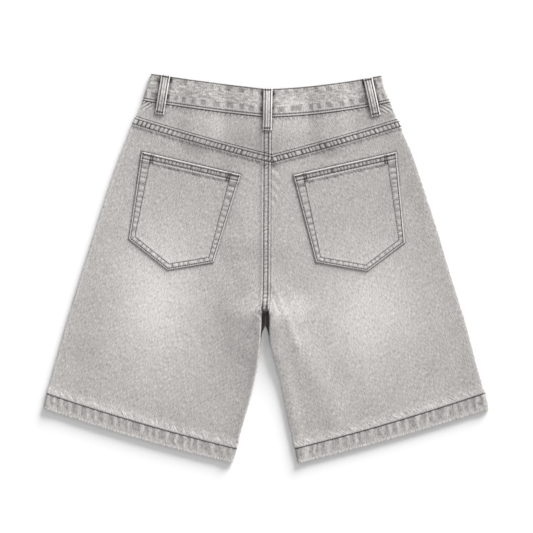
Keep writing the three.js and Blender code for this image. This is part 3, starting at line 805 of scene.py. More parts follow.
def add_creases(face):
    """Creases that fade out towards both ends."""
    near = (np.abs(face.x) < 90.0) & (face.y < 30.0) & (face.y > -160.0)
    x = face.x[near]
    y = face.y[near]
    for width, pale, height, points in CREASES:
        places = np.linspace(0.0, 1.0, 40)
        knots = np.linspace(0.0, 1.0, len(points))
        run_x = np.interp(places, knots, [q[0] for q in points])
        run_y = np.interp(places, knots, [q[1] for q in points])
        away = np.hypot(x[:, None] - run_x, y[:, None] - run_y)
        closest = away.argmin(axis=1)
        taper = np.sin(math.pi * np.clip(places[closest] * 0.92 + 0.05, 0.0, 1.0)) ** 0.7
        line = np.exp(-(away.min(axis=1) / width) ** 2) * taper
        light = np.zeros(face.shape)
        light[near] = line
        face.light += max(pale, 0.0) * light
        face.dark += max(-pale, 0.0) * light
        face.height += height * light


def add_groove(face, away, width=0.85, depth=0.30, dark=0.72):
    """The sunk line that a row of stitches pulls into the cloth, with painted shade in it."""
    line = bell(away, 0.0, width)
    face.height -= depth * line
    face.dark += dark * line


def add_puckers(face, seed, along, window, pitch, height, dark, light, slant=0.0, away=0.0):
    """Puckers with narrow dark valleys between broad worn crests."""
    wave = waves(seed, along + slant * away, pitch)
    face.height += height * wave * window
    face.dark += dark * np.clip(-wave * 1.25, 0.0, 1.0) ** 1.7 * window
    face.light += light * np.clip(wave * 1.3, 0.0, 1.0) * window


def add_strokes(face, along, away, window):
    """Fine pulled wrinkles that run along "away", drawn by the cloth's material."""
    here = window > face.pulled
    face.stroke_x = np.where(here, along, face.stroke_x)
    face.stroke_y = np.where(here, away, face.stroke_y)
    face.pulled = np.maximum(face.pulled, window)


def add_edge(face, away, width=1.3, drop=0.5, pale=0.5):
    """A folded edge: rounded down, and worn pale."""
    face.height -= drop * fall(away, 0.0, width)
    face.light += pale * fall(away, width * 0.6, width * 1.7)


def add_ditch(face, away, width=1.4, depth=0.4, dark=0.5):
    """The edge that lies under a neighbour's fold, in its shade."""
    face.height -= depth * fall(away, 0.0, width)
    face.dark += dark * fall(away, width * 0.3, width * 1.4)


# Rows of stitches: their distances from the edge of the fold
HEM_STEP = 2.0 * (HEM - CLOTH) - HEM_SINK
YOKE_ROWS = (3.0, 10.6)
SEAT_ROWS = (3.8, 10.1)
BAND_ROWS = (1.2, 2.9)
HEM_ROW = 2.1
PUCKER = 6.2


def yoke_seam_relief(face, seed, strength=1.0):
    """The felled seam along the top of a back panel."""
    v = face.down
    s = face.across
    lean = -0.8 if np.mean(face.x) < 0.0 else 0.8
    add_edge(face, v, 1.0, 0.10, 0.10)
    face.light += 0.20 * within(v, 1.2, 2.2, 0.6)
    band = within(v, YOKE_ROWS[0] + 0.9, YOKE_ROWS[1] - 0.9, 0.9)
    add_puckers(face, seed, s, band, PUCKER, 0.20, 0.85 * strength, 0.24 * strength, 0.06, v)
    for row in YOKE_ROWS:
        add_groove(face, v - row)
    face.light += 0.34 * bell(v, YOKE_ROWS[1] + 1.7, 0.8)
    dashes = bell(v, YOKE_ROWS[1] + 3.6, 1.2)
    add_puckers(face, seed + 9, s, dashes, 5.4, 0.12, 0.42, 0.14, lean, v)
    feather = within(v, YOKE_ROWS[1] + 2.6, YOKE_ROWS[1] + 5.0, 4.6)
    feather = feather * (0.95 + 0.35 * noise(seed + 7, s / 9.0, 0.0))
    add_strokes(face, 0.9 * (s + lean * v), v, feather)
    # Painted shade at the foot of the seam's ridge
    face.dark += 0.07 * within(v, 12.0, 15.0, 6.0)


def seat_seam_relief(face, seed):
    """The felled seam down the middle of the back, on the left side pieces."""
    d = face.to_inner
    keep = face.above * 1.0
    s = face.y
    add_edge(face, np.where(face.above, d, FAR), 1.2, 0.2, 0.26)
    band = within(d, SEAT_ROWS[0] + 0.9, SEAT_ROWS[1] - 0.9, 0.9) * keep
    patchy = 0.6 + 0.4 * noise(seed + 3, s / 16.0, 0.0)
    add_puckers(face, seed, s, band * patchy, 5.4, 0.34, 0.36, 0.50, 0.3, d)
    # Sunk rows with painted shade in them, deeper near the crotch
    for row in SEAT_ROWS:
        line = bell(d, row, 0.85) * keep
        face.height -= 0.30 * line
        face.dark += 0.68 * line
        crotch_row_shade = bell(d, row, 1.9) * keep * within(face.y, -70.0, -56.0, 10.0)
        face.dark += 0.62 * crotch_row_shade
    face.light += 0.50 * bell(d, SEAT_ROWS[1] + 1.7, 1.0) * keep


def crotch_shade(x, y):
    """Painted shade of the deep notch at the ends of the crotch seams, partly unfaded dye there."""
    middle = MIDDLE[1]
    streak = 1.0 - 0.20 * bell(x, middle, 1.8)
    fade = np.where(x < middle, ramp(y, -150.0, -122.0), ramp(y, -122.0, -102.0))
    width = fall(np.abs(x - middle), 8.0, 13.0)
    return width * fade * fall(y, -60.0, -44.0) * streak


HAND = {"left": 0, "right": 1}


def outside_pocket(x, y, shape):
    """Distance outside the outline of a pocket, below zero inside it."""
    corners = np.array([shape[key] for key in CORNERS])
    middle = corners.mean(axis=0)
    away = np.full(x.shape, -1000.0)
    for a, b in zip(corners, np.roll(corners, -1, axis=0)):
        normal = np.array([(b - a)[1], (a - b)[0]]) / np.linalg.norm(b - a)
        if np.dot(a - middle, normal) < 0:
            normal = -normal
        away = np.maximum(away, (x - a[0]) * normal[0] + (y - a[1]) * normal[1])
    return away


def below(t, distance):
    return t + distance / LEG_LENGTH


# Stitching of the fly, on the front: rows along a J, and along the middle under it
FLY_J = [(-35.0, 196.0), (-35.0, 150.0), (-34.0, 112.0), (-30.0, 88.0), (-21.0, 68.0), (-8.0, 56.0),
         (3.0, 50.0)]
FLY_ROWS = (0.0, 5.5)
FRONT_SEAM_ROWS = (3.0, 8.5)


def fly_line(gap):
    """Points of the J, moved towards the middle by the gap."""
    knots = np.array(FLY_J)
    run = run_along(knots)
    places = np.linspace(0.0, run[-1], 160)
    line = np.column_stack([np.interp(places, run, knots[:, k]) for k in range(2)])
    smooth = np.column_stack([evened(line[:, k], 12) for k in range(2)])
    ahead = np.gradient(smooth, axis=0)
    ahead /= np.linalg.norm(ahead, axis=1, keepdims=True)
    return smooth + gap * np.column_stack([-ahead[:, 1], ahead[:, 0]])


def front_seam_line(gap):
    ys = np.linspace(49.0, -80.0, 90)
    return np.column_stack([along_middle(MIDDLE, ys) - gap, ys])


FRONT_ROWS = [fly_line(gap) for gap in FLY_ROWS] + [front_seam_line(gap) for gap in FRONT_SEAM_ROWS]


faces = {}
objects = {}


def keep_cloth(name, face, inner):
    """Makes a piece's mesh, and keeps its face for the stitches."""
    faces[name] = face
    objects[name] = make_shell(name, face, inner)


UP = np.array([0.0, 0.0, 1.0])
DOWN = -UP


def finish_back(name, face, inner, seed):
    add_side_wear_and_light(face)
    add_fades_and_shade(face)
    add_mottle(face, seed)
    face.raise_relief(UP)
    keep_cloth(name, face, inner)


def crotch_height(piece):
    """Seam height at which the inner end of a back panel reaches the crotch."""
    key = "inL" if piece.side == "left" else "inR"
    return float(np.interp(-BACK_CROTCH_Y, -LEVELS[key], np.arange(5)))


def build_back(side):
    piece = cloth_piece(side, "back")
    length = LEG_LENGTH - GAP / 2.0
    down, t = leg_rows(below(YOKE_SEAM, GAP / 2), HEM_SEAM - 1e-6, length, 1.6,
                       (0.75, 17.0), (0.9, 9.0))
    # Two rows meet at the crotch, where the seat seam ends and the inseam's fold begins
    crotch_t = crotch_height(piece)
    near = int(np.argmin(np.abs(t - crotch_t)))
    t[near] = crotch_t - 1e-5
    t[near + 1] = crotch_t + 1e-5
    down[near:near + 2] = mix(down[0], down[-1], (t[near:near + 2] - t[0]) / (t[-1] - t[0]))
    ridges = RIDGE * fall(down, YOKE_RIDGE + 0.8, YOKE_RIDGE + 6.5)
    face, inner = leg_face(piece, t, down, COLUMNS["back"], ridges)
    seed = 30 + HAND[side]
    yoke_seam_relief(face, seed)
    if side == "left":
        seat_seam_relief(face, 60)
    else:
        away = np.where(face.above, face.to_inner, FAR)
        add_ditch(face, away, 1.0, 0.25, 0.42)
        face.light += 0.12 * bell(away, 2.4, 1.2)
        lines = within(face.down, 14.0, 60.0, 30.0) * within(away, 3.0, 7.0, 9.0)
        add_puckers(face, 77, face.down, lines, 19.0, 0.25, 0.12, 0.16, -1.3, away)
    way = 1.0 if side == "left" else -1.0
    knot_x = 3.0 - 5.0 * way
    knot = spot(face, knot_x, 150.0, 7.0, 7.0)
    add_strokes(face, face.across + 0.5 * way * face.down, face.down, 1.2 * knot)
    # Painted shade where the seat seam meets the yoke seam
    face.dark += 0.30 * spot(face, knot_x, 151.0, 4.5, 6.0)
    hem = fall(face.to_bottom, 4.5, 9.0)
    feather = fall(face.to_bottom, 5.5, 10.5 + 2.0 * noise(seed + 11, face.across / 8.0, 0.0))
    face.light += 0.20 * hem
    add_strokes(face, face.across + 0.85 * way * face.to_bottom, face.to_bottom, 1.1 * feather)
    face.height += HEM_STEP * fall(face.to_bottom, 0.0, 16.0)
    add_creases(face)
    # Painted shadow of the pocket's edge on the panel, deeper along its top
    outside = outside_pocket(face.x, face.y, POCKETS[side])
    face.dark += within(outside, 0.0, 0.5, 1.6) * np.where(face.y > 120.0, 0.42, 0.16)
    # Painted shade at the end of the seat seam, on the inseam's rim below the crotch and under the bar tack
    crotch_end_shade = spot(face, MIDDLE[1], -61.0, 6.5, 5.5)
    rim = fall(face.to_inner, 0.0, 2.2) * face.turn * ramp(face.y, -112.0, -92.0)
    bar = within(face.x, -6.0, 3.4, 1.0) * within(face.y, -64.0, -59.6, 1.0)
    face.dark += 0.40 * crotch_end_shade + 0.80 * bar + 0.55 * rim
    finish_back("back_" + side, face, inner, 100)


def build_yoke(side):
    piece = cloth_piece(side, "back")
    start = BAND_SEAM + GAP / 2.0 / YOKE_SIDE
    stop = YOKE_SEAM - GAP / 2.0 / YOKE_SIDE
    down, t = leg_rows(start, stop, YOKE_MIDDLE, 1.0, (0.7, 6.0), (0.7, 2.0))
    face, inner = leg_face(piece, t, down, COLUMNS["yoke"], np.zeros_like(t))
    seed = 40 + HAND[side]
    # The yoke narrows towards the sides, and its rows with it
    narrowed = np.interp(np.abs(face.x), [0.0, YOKE_REACH], [1.0, YOKE_SIDE / YOKE_MIDDLE])
    true_down = face.down * narrowed
    true_up = face.to_bottom * narrowed
    if side == "left":
        seat_seam_relief(face, 64)
    else:
        add_ditch(face, face.to_inner, 1.2, 0.3, 0.5)
        face.light += 0.20 * bell(face.to_inner, 2.6, 1.2)
    add_ditch(face, true_down, 1.3, 0.4, 0.62)
    near = within(true_down, 1.4, 3.6, 2.4)
    uneven = 0.6 + 0.4 * noise(seed + 3, face.across / 12.0, 0.0)
    tug = 0.3 * np.sin(face.across / 30.0)
    add_puckers(face, seed, face.across, near * uneven, 6.0, 0.26, 0.34, 0.26, 0.4, true_down)
    at_side = fall(face.across, 22.0, 34.0)
    for loop in BACK_LOOPS.values():
        by_loop = fall(distance_to(face.x, face.y, loop), 9.0, 17.0)
        at_side = np.maximum(at_side, 0.9 * by_loop)
    reach = mix(5.0, 12.0, at_side)
    pulled = ramp(true_down, 1.0, 2.0) * fall(true_down, reach, reach * 1.6)
    pulled = pulled * (0.55 + 0.5 * uneven * at_side)
    add_strokes(face, face.across * 0.9 + tug * true_down, true_down, pulled)
    # Painted shade under the waistband, uneven along it
    uneven_shade = 0.75 + 0.25 * noise(seed + 4, face.across / 14.0, true_down / 6.0)
    face.dark += 0.12 * uneven_shade * fall(true_down, 3.0, 11.0)
    gathers = within(face.across, 2.0, 17.0, 4.0) * within(true_down, 1.6, 10.0, 6.0)
    add_puckers(face, seed + 8, face.across, gathers, 6.6, 0.30, 0.50, 0.42, 0.9, true_down)
    # Painted shade beside each back loop, deeper in the troughs of the wrinkles that spread from it
    for loop in BACK_LOOPS.values():
        away = distance_to(face.x, face.y, loop) - LOOP.width / 2.0
        _, high_y, _, low_y = loop
        shade = fall(away, 0.3, 6.0) * within(face.y, low_y + 4.0, high_y, 10.0)
        rays = waves(seed + 6, face.y + 0.9 * away, 9.0)
        face.dark += shade * (0.30 + 0.18 * np.maximum(-rays, 0.0))
        lit = within(away, 2.0, 8.0, 4.0) * within(face.y, low_y + 6.0, high_y, 6.0)
        face.light += 0.3 * lit * np.maximum(rays, 0.0)
    add_ditch(face, true_up, 1.1, 0.2, 0.60)
    face.light += 0.12 * within(true_up, 1.6, 3.0, 1.2)
    finish_back("yoke_" + side, face, inner, 110)


def points_above(face):
    """How far the points of a front face stand over the surface that it lies on."""
    return face.points[..., 2] - lift_at(face.x, face.y)


def build_front(side):
    piece = cloth_piece(side, "front")
    start = BAND_SEAM + GAP / 2.0 / YOKE_SIDE
    stop = below(HEM_SEAM, -GAP / 2.0)
    length = LEG_LENGTH + YOKE_MIDDLE
    down = graded(length, 2.6, (1.2, 6.0), (1.2, 6.0))
    # The rows keep their spacing on both sides of the yoke seam's height
    t = np.where(down < YOKE_MIDDLE, mix(start, YOKE_SEAM, down / YOKE_MIDDLE),
                 mix(YOKE_SEAM, stop, (down - YOKE_MIDDLE) / (length - YOKE_MIDDLE)))
    face, inner = leg_face(piece, t, down, COLUMNS["front"], np.zeros_like(t))
    seed = 50 + HAND[side]
    # Painted shade along the top and the bottom, next to the waistband and the hem
    face.dark += 0.3 * fall(face.down, 1.0, 5.0) + 0.3 * fall(face.to_bottom, 1.0, 4.0)
    near = fall(face.down, 2.0, 7.0)
    wave = waves(seed, face.across + 0.5 * face.down, 5.2) * near
    face.light += 0.25 * np.maximum(wave, 0.0)
    face.dark += 0.2 * np.maximum(-wave, 0.0)
    face.height -= 0.14 * near * (1.0 - wave)
    hem = fall(face.to_bottom, 3.0, 8.5)
    wave = waves(seed + 2, face.across + 0.8 * face.to_bottom, 6.4) * hem
    face.light += 0.22 * hem + 0.2 * np.maximum(wave, 0.0)
    face.height -= 0.12 * hem * (1.0 - wave)
    for fold in FOLDS:
        width, height = fold[4:]
        away = distance_to(face.x, face.y, fold) / (0.8 * width)
        face.height -= 0.45 * abs(height) * np.exp(-away * away)
    if side == "left":
        near = (np.abs(face.x) < 60.0) & (face.y > -80.0) & (face.y < 200.0)
        places = np.concatenate(FRONT_ROWS)
        to_x = face.x[near][:, None] - places[:, 0]
        to_y = face.y[near][:, None] - places[:, 1]
        sunk = np.zeros(face.shape)
        sunk[near] = bell(np.hypot(to_x, to_y).min(axis=1), 0.0, 2.2)
        # Sunk rows of stitches, with painted shade in them
        face.height -= 0.40 * sunk
        face.dark += 0.16 * sunk
    add_side_wear_and_light(face)
    add_fades_and_shade(face, 0.9)
    tone = noise(120, face.x / 9.0, face.y / 15.0)
    face.light += 0.05 * np.maximum(tone, 0.0)
    face.dark += 0.03 * np.maximum(-tone, 0.0)
    # Painted shade at the crotch, only where the cloth rises at its rim: the underside is as pale as the rest
    risen = ramp(points_above(face), 0.8, 2.4)
    face.dark += crotch_shade(face.x, face.y) * risen
    lap = np.where(face.y > FRONT_CROTCH_Y, face.to_inner, FAR)
    face.dark += (0.50 if side == "left" else 0.30) * fall(lap, 0.4, 1.6)
    face.light += 0.25 * within(lap, 1.6, 2.8, 0.8)
    face.raise_relief(DOWN)
    keep_cloth("front_" + side, face, inner)


def band_part(piece, t, columns, inset):
    """Points of one stretch: columns are (end, bend) for a fold, or ("flat", share)."""
    t = t[:, None]
    span = span_at(piece, t)
    ply = ply_at(t)
    depth = inset * ply
    reach = ply + CURL
    parts = []
    for end, values in columns:
        values = np.asarray(values)[None, :]
        if end == "flat":
            far = span.reach - (0.0 if piece.kind == "band" else reach)
            along = mix(reach, far, values)
            parts.append(flat_points(piece, span, t, along, depth, 0.0))
        else:
            parts.append(curled(piece, span, end, t, values, depth, 0.0))
    return np.concatenate(parts, axis=1)


def run_length(points):
    """Distance along the middle row of a grid, for every column."""
    return run_along(points[points.shape[0] // 2])


def ring(kind, t, stretches, inset):
    """The stretches of a band side by side, each given by its side, its layer and its columns."""
    return [band_part(cloth_piece(side, layer, kind), t, columns, inset)
            for side, layer, columns in stretches]


def build_waistband():
    down = graded(BAND_HEIGHT - GAP / 2.0, 0.95, (0.6, 3.0), (0.6, 4.5))
    t = mix(WAIST, BAND_SEAM - GAP / 2.0 / BAND_HEIGHT, down / down[-1])
    flats = np.linspace(0.0, 1.0, COLUMNS["band"])
    stretches = [
        ("left", "front", [("flat", flats[::-1]), ("out", BEND[::-1])]),
        ("left", "back", [("out", OUTER_BEND), ("flat", flats)]),
        ("right", "back", [("flat", flats[:-1][::-1]), ("out", OUTER_BEND[::-1])]),
        ("right", "front", [("out", BEND), ("flat", flats)]),
    ]
    parts = ring("band", t, stretches, 0.0)
    points = np.concatenate(parts, axis=1)
    inner = np.concatenate(ring("band", t, stretches, 1.0), axis=1)
    spare = (points.shape[1] - 1) % COARSE
    if spare:
        points = points[:, :-spare]
        inner = inner[:, :-spare]
    starts = np.cumsum([0] + [p.shape[1] for p in parts])
    face = Face(points, across=run_length(points)[None, :], down=down[:, None],
                to_bottom=(down[-1] - down)[:, None])
    column = np.arange(points.shape[1])
    back = ((column >= starts[1]) & (column < starts[3]))[None, :]
    v = face.down
    w = face.to_bottom
    s = face.across
    drop = np.where(back, 0.16, -0.12)
    face.height -= drop * (2.0 - ramp(v, 0.0, 1.3) - ramp(w, 0.0, 1.3))
    face.light += 0.42 * within(w, 0.3, 1.3, 0.5)
    sink = np.where(back, 1.0, 0.5)
    # Sunk rows of stitches, with painted shade in them
    for line in (bell(v, BAND_ROWS[0], 0.8), bell(w, BAND_ROWS[1], 0.8)):
        face.height -= 0.35 * sink * line
        face.dark += 0.60 * line
    high_at = 7.0 + 1.2 * noise(214, s / 20.0, 0.0)
    low_at = 9.6 + 1.2 * noise(215, s / 17.0, 0.0)
    high_wave = waves(210, s, 17.0, 0.7)
    low_wave = waves(211, s, 15.5, 0.7)
    upper = np.clip(high_wave * 2.2 + 0.3, 0.0, 1.0) * within(v, high_at - 2.2, high_at + 2.2, 2.6)
    lower = np.clip(low_wave * 2.2 + 0.2, 0.0, 1.0) * within(w, low_at - 2.6, low_at + 2.6, 2.6)
    face.dark += 0.26 * upper + 0.32 * lower
    face.height -= sink * (0.30 * upper + 0.34 * lower)
    face.light += 0.28 * np.maximum(-low_wave, 0.0) * within(w, 4.2, 13.0, 2.0)
    wavy = 2.6 * noise(217, s / 16.0, v / 14.0) + 0.22 * v * noise(218, s / 40.0, 0.0)
    add_strokes(face, 0.95 * v + wavy, 1.1 * s, 0.52 * within(v, 9.0, 24.0, 6.0) * np.where(back, 1.0, 0.6))
    wrinkle = noise(212, (s + 1.2 * v) / 4.6, (v - 0.15 * s) / 2.6) + 0.6 * noise(213, s / 2.6, v / 2.2)
    middle = within(v, 5.0, 27.0, 5.0)
    face.height += 0.16 * sink * middle * (wrinkle - 0.3)
    face.dark += 0.24 * middle * np.maximum(-wrinkle - 0.15, 0.0)
    face.light += 0.34 * middle * np.maximum(wrinkle - 0.15, 0.0)
    face.light += 0.08
    face.dark += 0.02
    # Painted shade beside the back loops, with some dirt in it
    for loop in BACK_LOOPS.values():
        away = distance_to(face.x, face.y, loop) - LOOP.width / 2.0
        below_top = loop[1] - face.y
        patchy = 0.42 + 0.16 * noise(216, face.y / 5.0, face.x / 9.0)
        patchy = patchy + 0.50 * bell(below_top, 8.0, 6.0) + 0.25 * bell(below_top, 31.0, 5.0)
        face.dark += np.where(back, fall(away, 0.3, 6.4), 0.0) * patchy
    add_mottle(face, 130, 0.8)
    face.raise_relief(UP, slice(starts[1] + 40, starts[3] - 40))
    keep_cloth("waistband", face, inner)


def build_hem(side):
    down = graded(HEM_HEIGHT - GAP / 2.0, 0.95, (0.6, 3.2), (0.6, 2.0))
    t = mix(HEM_SEAM + 1e-6, LEG_EDGE, down / down[-1])
    flats = np.linspace(0.0, 1.0, COLUMNS["hem"])
    stretches = [
        (side, "back", [("out", OUTER_BEND), ("flat", flats), ("in", BEND[::-1])]),
        (side, "front", [("in", OUTER_BEND), ("flat", flats[::-1]), ("out", BEND[::-1])]),
    ]
    parts = ring("hem", t, stretches, 0.0)
    points = np.concatenate(parts, axis=1)
    inner = np.concatenate(ring("hem", t, stretches, 1.0), axis=1)
    start = parts[0].shape[1]
    face = Face(points, wrap=True, across=run_length(points)[None, :], down=down[:, None],
                to_bottom=(down[-1] - down)[:, None])
    back = (np.arange(points.shape[1]) < start)[None, :]
    v = face.down
    w = face.to_bottom
    s = face.across
    sink = np.where(back, 1.0, 0.4)
    seed = 300 + 10 * HAND[side]
    face.height -= 0.10 * sink * fall(w, 0.0, 1.2)
    # Sunk row of stitches, with painted shade in it
    line = bell(v, HEM_ROW, 0.75)
    face.height -= 0.35 * sink * line
    face.dark += 0.60 * line
    face.light += 0.20 * fall(v, 0.4, 1.3)
    skew = s - 0.20 * v + 0.9 * noise(seed + 6, s / 9.0, v / 6.0)
    rope = waves(seed, skew, 13.2, 0.62)
    blot = noise(seed + 7, s / 4.2, v / 5.5)
    patch = np.clip(-rope * 2.4 + 0.55 + 0.6 * blot, 0.0, 1.0)
    patch = patch * within(v, 3.2, 12.5 + 2.5 * noise(seed + 8, s / 11.0, 0.0), 2.0)
    streak = noise(seed + 2, s / 1.3, v / 8.0) + 0.5 * noise(seed + 9, s / 0.8, v / 3.0)
    face.dark += patch * (0.18 + 0.08 * streak)
    crest = np.clip(rope * 2.0 - 0.7 - 0.4 * blot, 0.0, 1.0) * within(v, 3.2, 18.0, 1.5)
    face.light += crest * (0.36 + 0.24 * streak)
    low = within(v, 13.0, 17.0, 3.0)
    face.dark += 0.10 * low * np.maximum(blot, 0.0)
    face.height += sink * (0.26 * rope * within(v, 4.4, 16.0, 3.0) - 0.12 * ramp(v, 1.0, 4.0) + 0.05 * streak)
    edge_wave = waves(seed + 4, s, 4.3, 0.6)
    face.light += fall(w, 1.2, 4.6) * (0.50 + 0.34 * edge_wave)
    face.dark += fall(w, 0.6, 3.0) * 0.30 * np.maximum(-edge_wave, 0.0)
    face.height += 0.12 * sink * edge_wave * fall(w, 1.0, 4.0)
    face.dark += 0.05
    add_mottle(face, 140 + HAND[side], 0.8)
    face.height = np.where(back, face.height, np.minimum(face.height, 0.0))
    face.raise_relief(UP, slice(30, start - 30))
    keep_cloth("hem_" + side, face, inner)


def pocket_edges(shape):
    corners = [shape[key] for key in CORNERS]
    return [(*corners[i], *corners[(i + 1) % 5]) for i in range(5)]


def line_away(x, y, line):
    """Distance from the endless line through two points."""
    x1, y1, x2, y2 = line
    length = math.hypot(x2 - x1, y2 - y1)
    return np.abs((x - x1) * (y2 - y1) - (y - y1) * (x2 - x1)) / length


def line_share(x, y, line):
    """Distance along a line, from its first point."""
    x1, y1, x2, y2 = line
    length = math.hypot(x2 - x1, y2 - y1)
    return ((x - x1) * (x2 - x1) + (y - y1) * (y2 - y1)) / length


# Distances from a pocket's edges: its rounded rim, its rows of stitches, and the uprights of the top band
POCKET_RIM = 0.9
POCKET_TOP_ROWS = (4.2, 10.0)
POCKET_SIDE_ROW = 3.0
POCKET_INNER_ROW = (14.6, 9.0)
POCKET_TAPER = 118.0
POCKET_POSTS = (15.2, 18.2)


def pocket_relief(face, shape, seed):
    edges = pocket_edges(shape)
    top = line_away(face.x, face.y, edges[0])
    sides = np.stack([line_away(face.x, face.y, edge) for edge in edges[1:]])
    side = sides.min(axis=0)
    nearest = sides.argmin(axis=0)
    s_top = line_share(face.x, face.y, edges[0])
    lengths = [math.hypot(e[2] - e[0], e[3] - e[1]) for e in edges[1:]]
    s_side = np.zeros(face.shape)
    for k, edge in enumerate(edges[1:]):
        run = line_share(face.x, face.y, edge) + sum(lengths[:k])
        s_side = np.where(nearest == k, run, s_side)
    rim = np.minimum(top, side)
    raised_top = fall(top, POCKET.top_band - 0.6, POCKET.top_band + 1.0)
    inner_row = mix(*POCKET_INNER_ROW, np.clip(top / POCKET_TAPER, 0.0, 1.0))
    raised_side = 0.3 * fall(side, inner_row + 0.4, inner_row + 4.0)
    thick = mix(POCKET.ply, POCKET.border, np.maximum(raised_top, raised_side))
    face.height -= 0.8 * fall(rim, 0.0, POCKET_RIM + 0.8)
    # Painted shadow along the outermost rim, deeper along the top
    face.dark += np.where(top < side, 0.95, 0.50) * fall(rim, 0.5, POCKET_RIM + 0.5)
    face.light += 0.80 * within(rim, POCKET_RIM + 0.5, POCKET_RIM + 1.5, 0.5)
    band = within(top, POCKET_TOP_ROWS[0] + 0.7, POCKET_TOP_ROWS[1] - 0.7, 0.7)
    inside = ramp(side, POCKET_POSTS[1], POCKET_POSTS[1] + 1.5)
    face.dark += 0.12 * band * inside
    face.light += 0.16 * band * (1.0 - inside)
    add_puckers(face, seed, s_top, band * inside, 5.6, 0.28, 0.55, 0.30, 0.06, top)
    under = POCKET_TOP_ROWS[1] + 6.0
    face.light += 0.80 * bell(top, under - 3.0, 1.0)
    dashes = bell(top, under, 1.2) * (0.8 + 0.4 * noise(seed + 3, s_top / 6.0, 0.0))
    face.dark += 0.52 * dashes * mix(0.6, 1.0, inside)
    lean = 0.8 if shape["tip"][0] < 0.0 else -0.8
    feather = within(top, under - 1.0, under + 1.5, 5.0) * inside
    add_strokes(face, s_top - lean * top, top, feather)
    below_top = ramp(top, under - 1.0, under + 1.0)
    border = within(side, POCKET_SIDE_ROW + 1.4, inner_row - 1.4, 1.2) * below_top
    rope = waves(seed + 4, s_side, 8.6, 0.5)
    face.height += 0.20 * border * rope
    face.dark += 0.42 * border * np.clip(-rope * 1.4, 0.0, 1.0) ** 1.5
    face.light += border * (0.08 + 0.14 * np.maximum(rope, 0.0))
    face.dark += 0.22 * border * fall(top, under + 2.0, under + 8.0)
    for row in POCKET_TOP_ROWS:
        add_groove(face, np.where(side > POCKET_RIM + 1.2, top - row, 9.0), dark=0.66)
    low = top > POCKET_TOP_ROWS[1]
    add_groove(face, np.where(top > POCKET_RIM + 1.2, side - POCKET_SIDE_ROW, 9.0), dark=0.50)
    add_groove(face, np.where(low, side - inner_row, 9.0), dark=0.30)
    face.light += 0.10 * bell(side, inner_row + 2.0, 0.9) * below_top
    bar = within(side, POCKET_RIM + 1.0, POCKET_POSTS[0], 0.6) * bell(top, POCKET_TOP_ROWS[0], 1.5)
    face.dark += 0.55 * bar
    crossing = within(top, POCKET_RIM + 1.2, POCKET_TOP_ROWS[1] + 4.5, 0.8)
    for post in POCKET_POSTS:
        face.dark += 0.90 * bell(side, post, 1.1) * crossing
    return thick


def build_pocket(side):
    shape = POCKETS[side]
    outer, inner_corner, low, tip, out = (np.array(shape[key]) for key in CORNERS)
    width = np.linalg.norm(inner_corner - outer)
    depth = np.linalg.norm(out - outer)
    tip_at = (tip[0] - out[0]) / (low[0] - out[0])
    columns = graded(width, 1.35, (0.6, 3.2), (0.6, 3.2)) / width
    rows = graded(depth, 1.3, (0.65, 17.0), (0.6, 3.2)) / depth
    f = columns[None, :, None]
    g = rows[:, None, None]
    upper = mix(outer, inner_corner, f)
    lower = np.where(f < tip_at, mix(out, tip, f / tip_at), mix(tip, low, (f - tip_at) / (1.0 - tip_at)))
    xy = mix(upper, lower, g)
    x = xy[..., 0]
    y = xy[..., 1]
    base = upper_top_at(x, y, MID_LEG) + GAP
    face = Face(np.stack([x, y, base], axis=-1), across=x, down=y)
    face.grain = leaning(x, y, side)
    thick = pocket_relief(face, shape, 400 + 20 * HAND[side])
    add_fades_and_shade(face)
    add_mottle(face, 150 + HAND[side])
    face.dark += 0.02
    face.find_normals(UP)
    face.points = np.stack([x, y, base + np.maximum(POCKET.least, thick + face.height)], axis=-1)
    inner = np.stack([x, y, base], axis=-1)
    keep_cloth("pocket_" + side, face, inner)


def back_height_at(side, x, y):
    """Height t of the seam line that passes over points of the back."""
    piece = cloth_piece(side, "back")
    a = np.full(x.shape, WAIST)
    b = np.full(x.shape, HEM_SEAM)
    for _ in range(24):
        t = (a + b) / 2.0
        span = span_at(piece, t)
        u = (x - span.out[0]) / (span.end[0] - span.out[0])
        line_y = mix(span.out[1], span.end[1], u) - sagging(span.sag, u)
        above = line_y > y
        a = np.where(above, t, a)
        b = np.where(above, b, t)
    return a


LOOP_ROW = 2.7


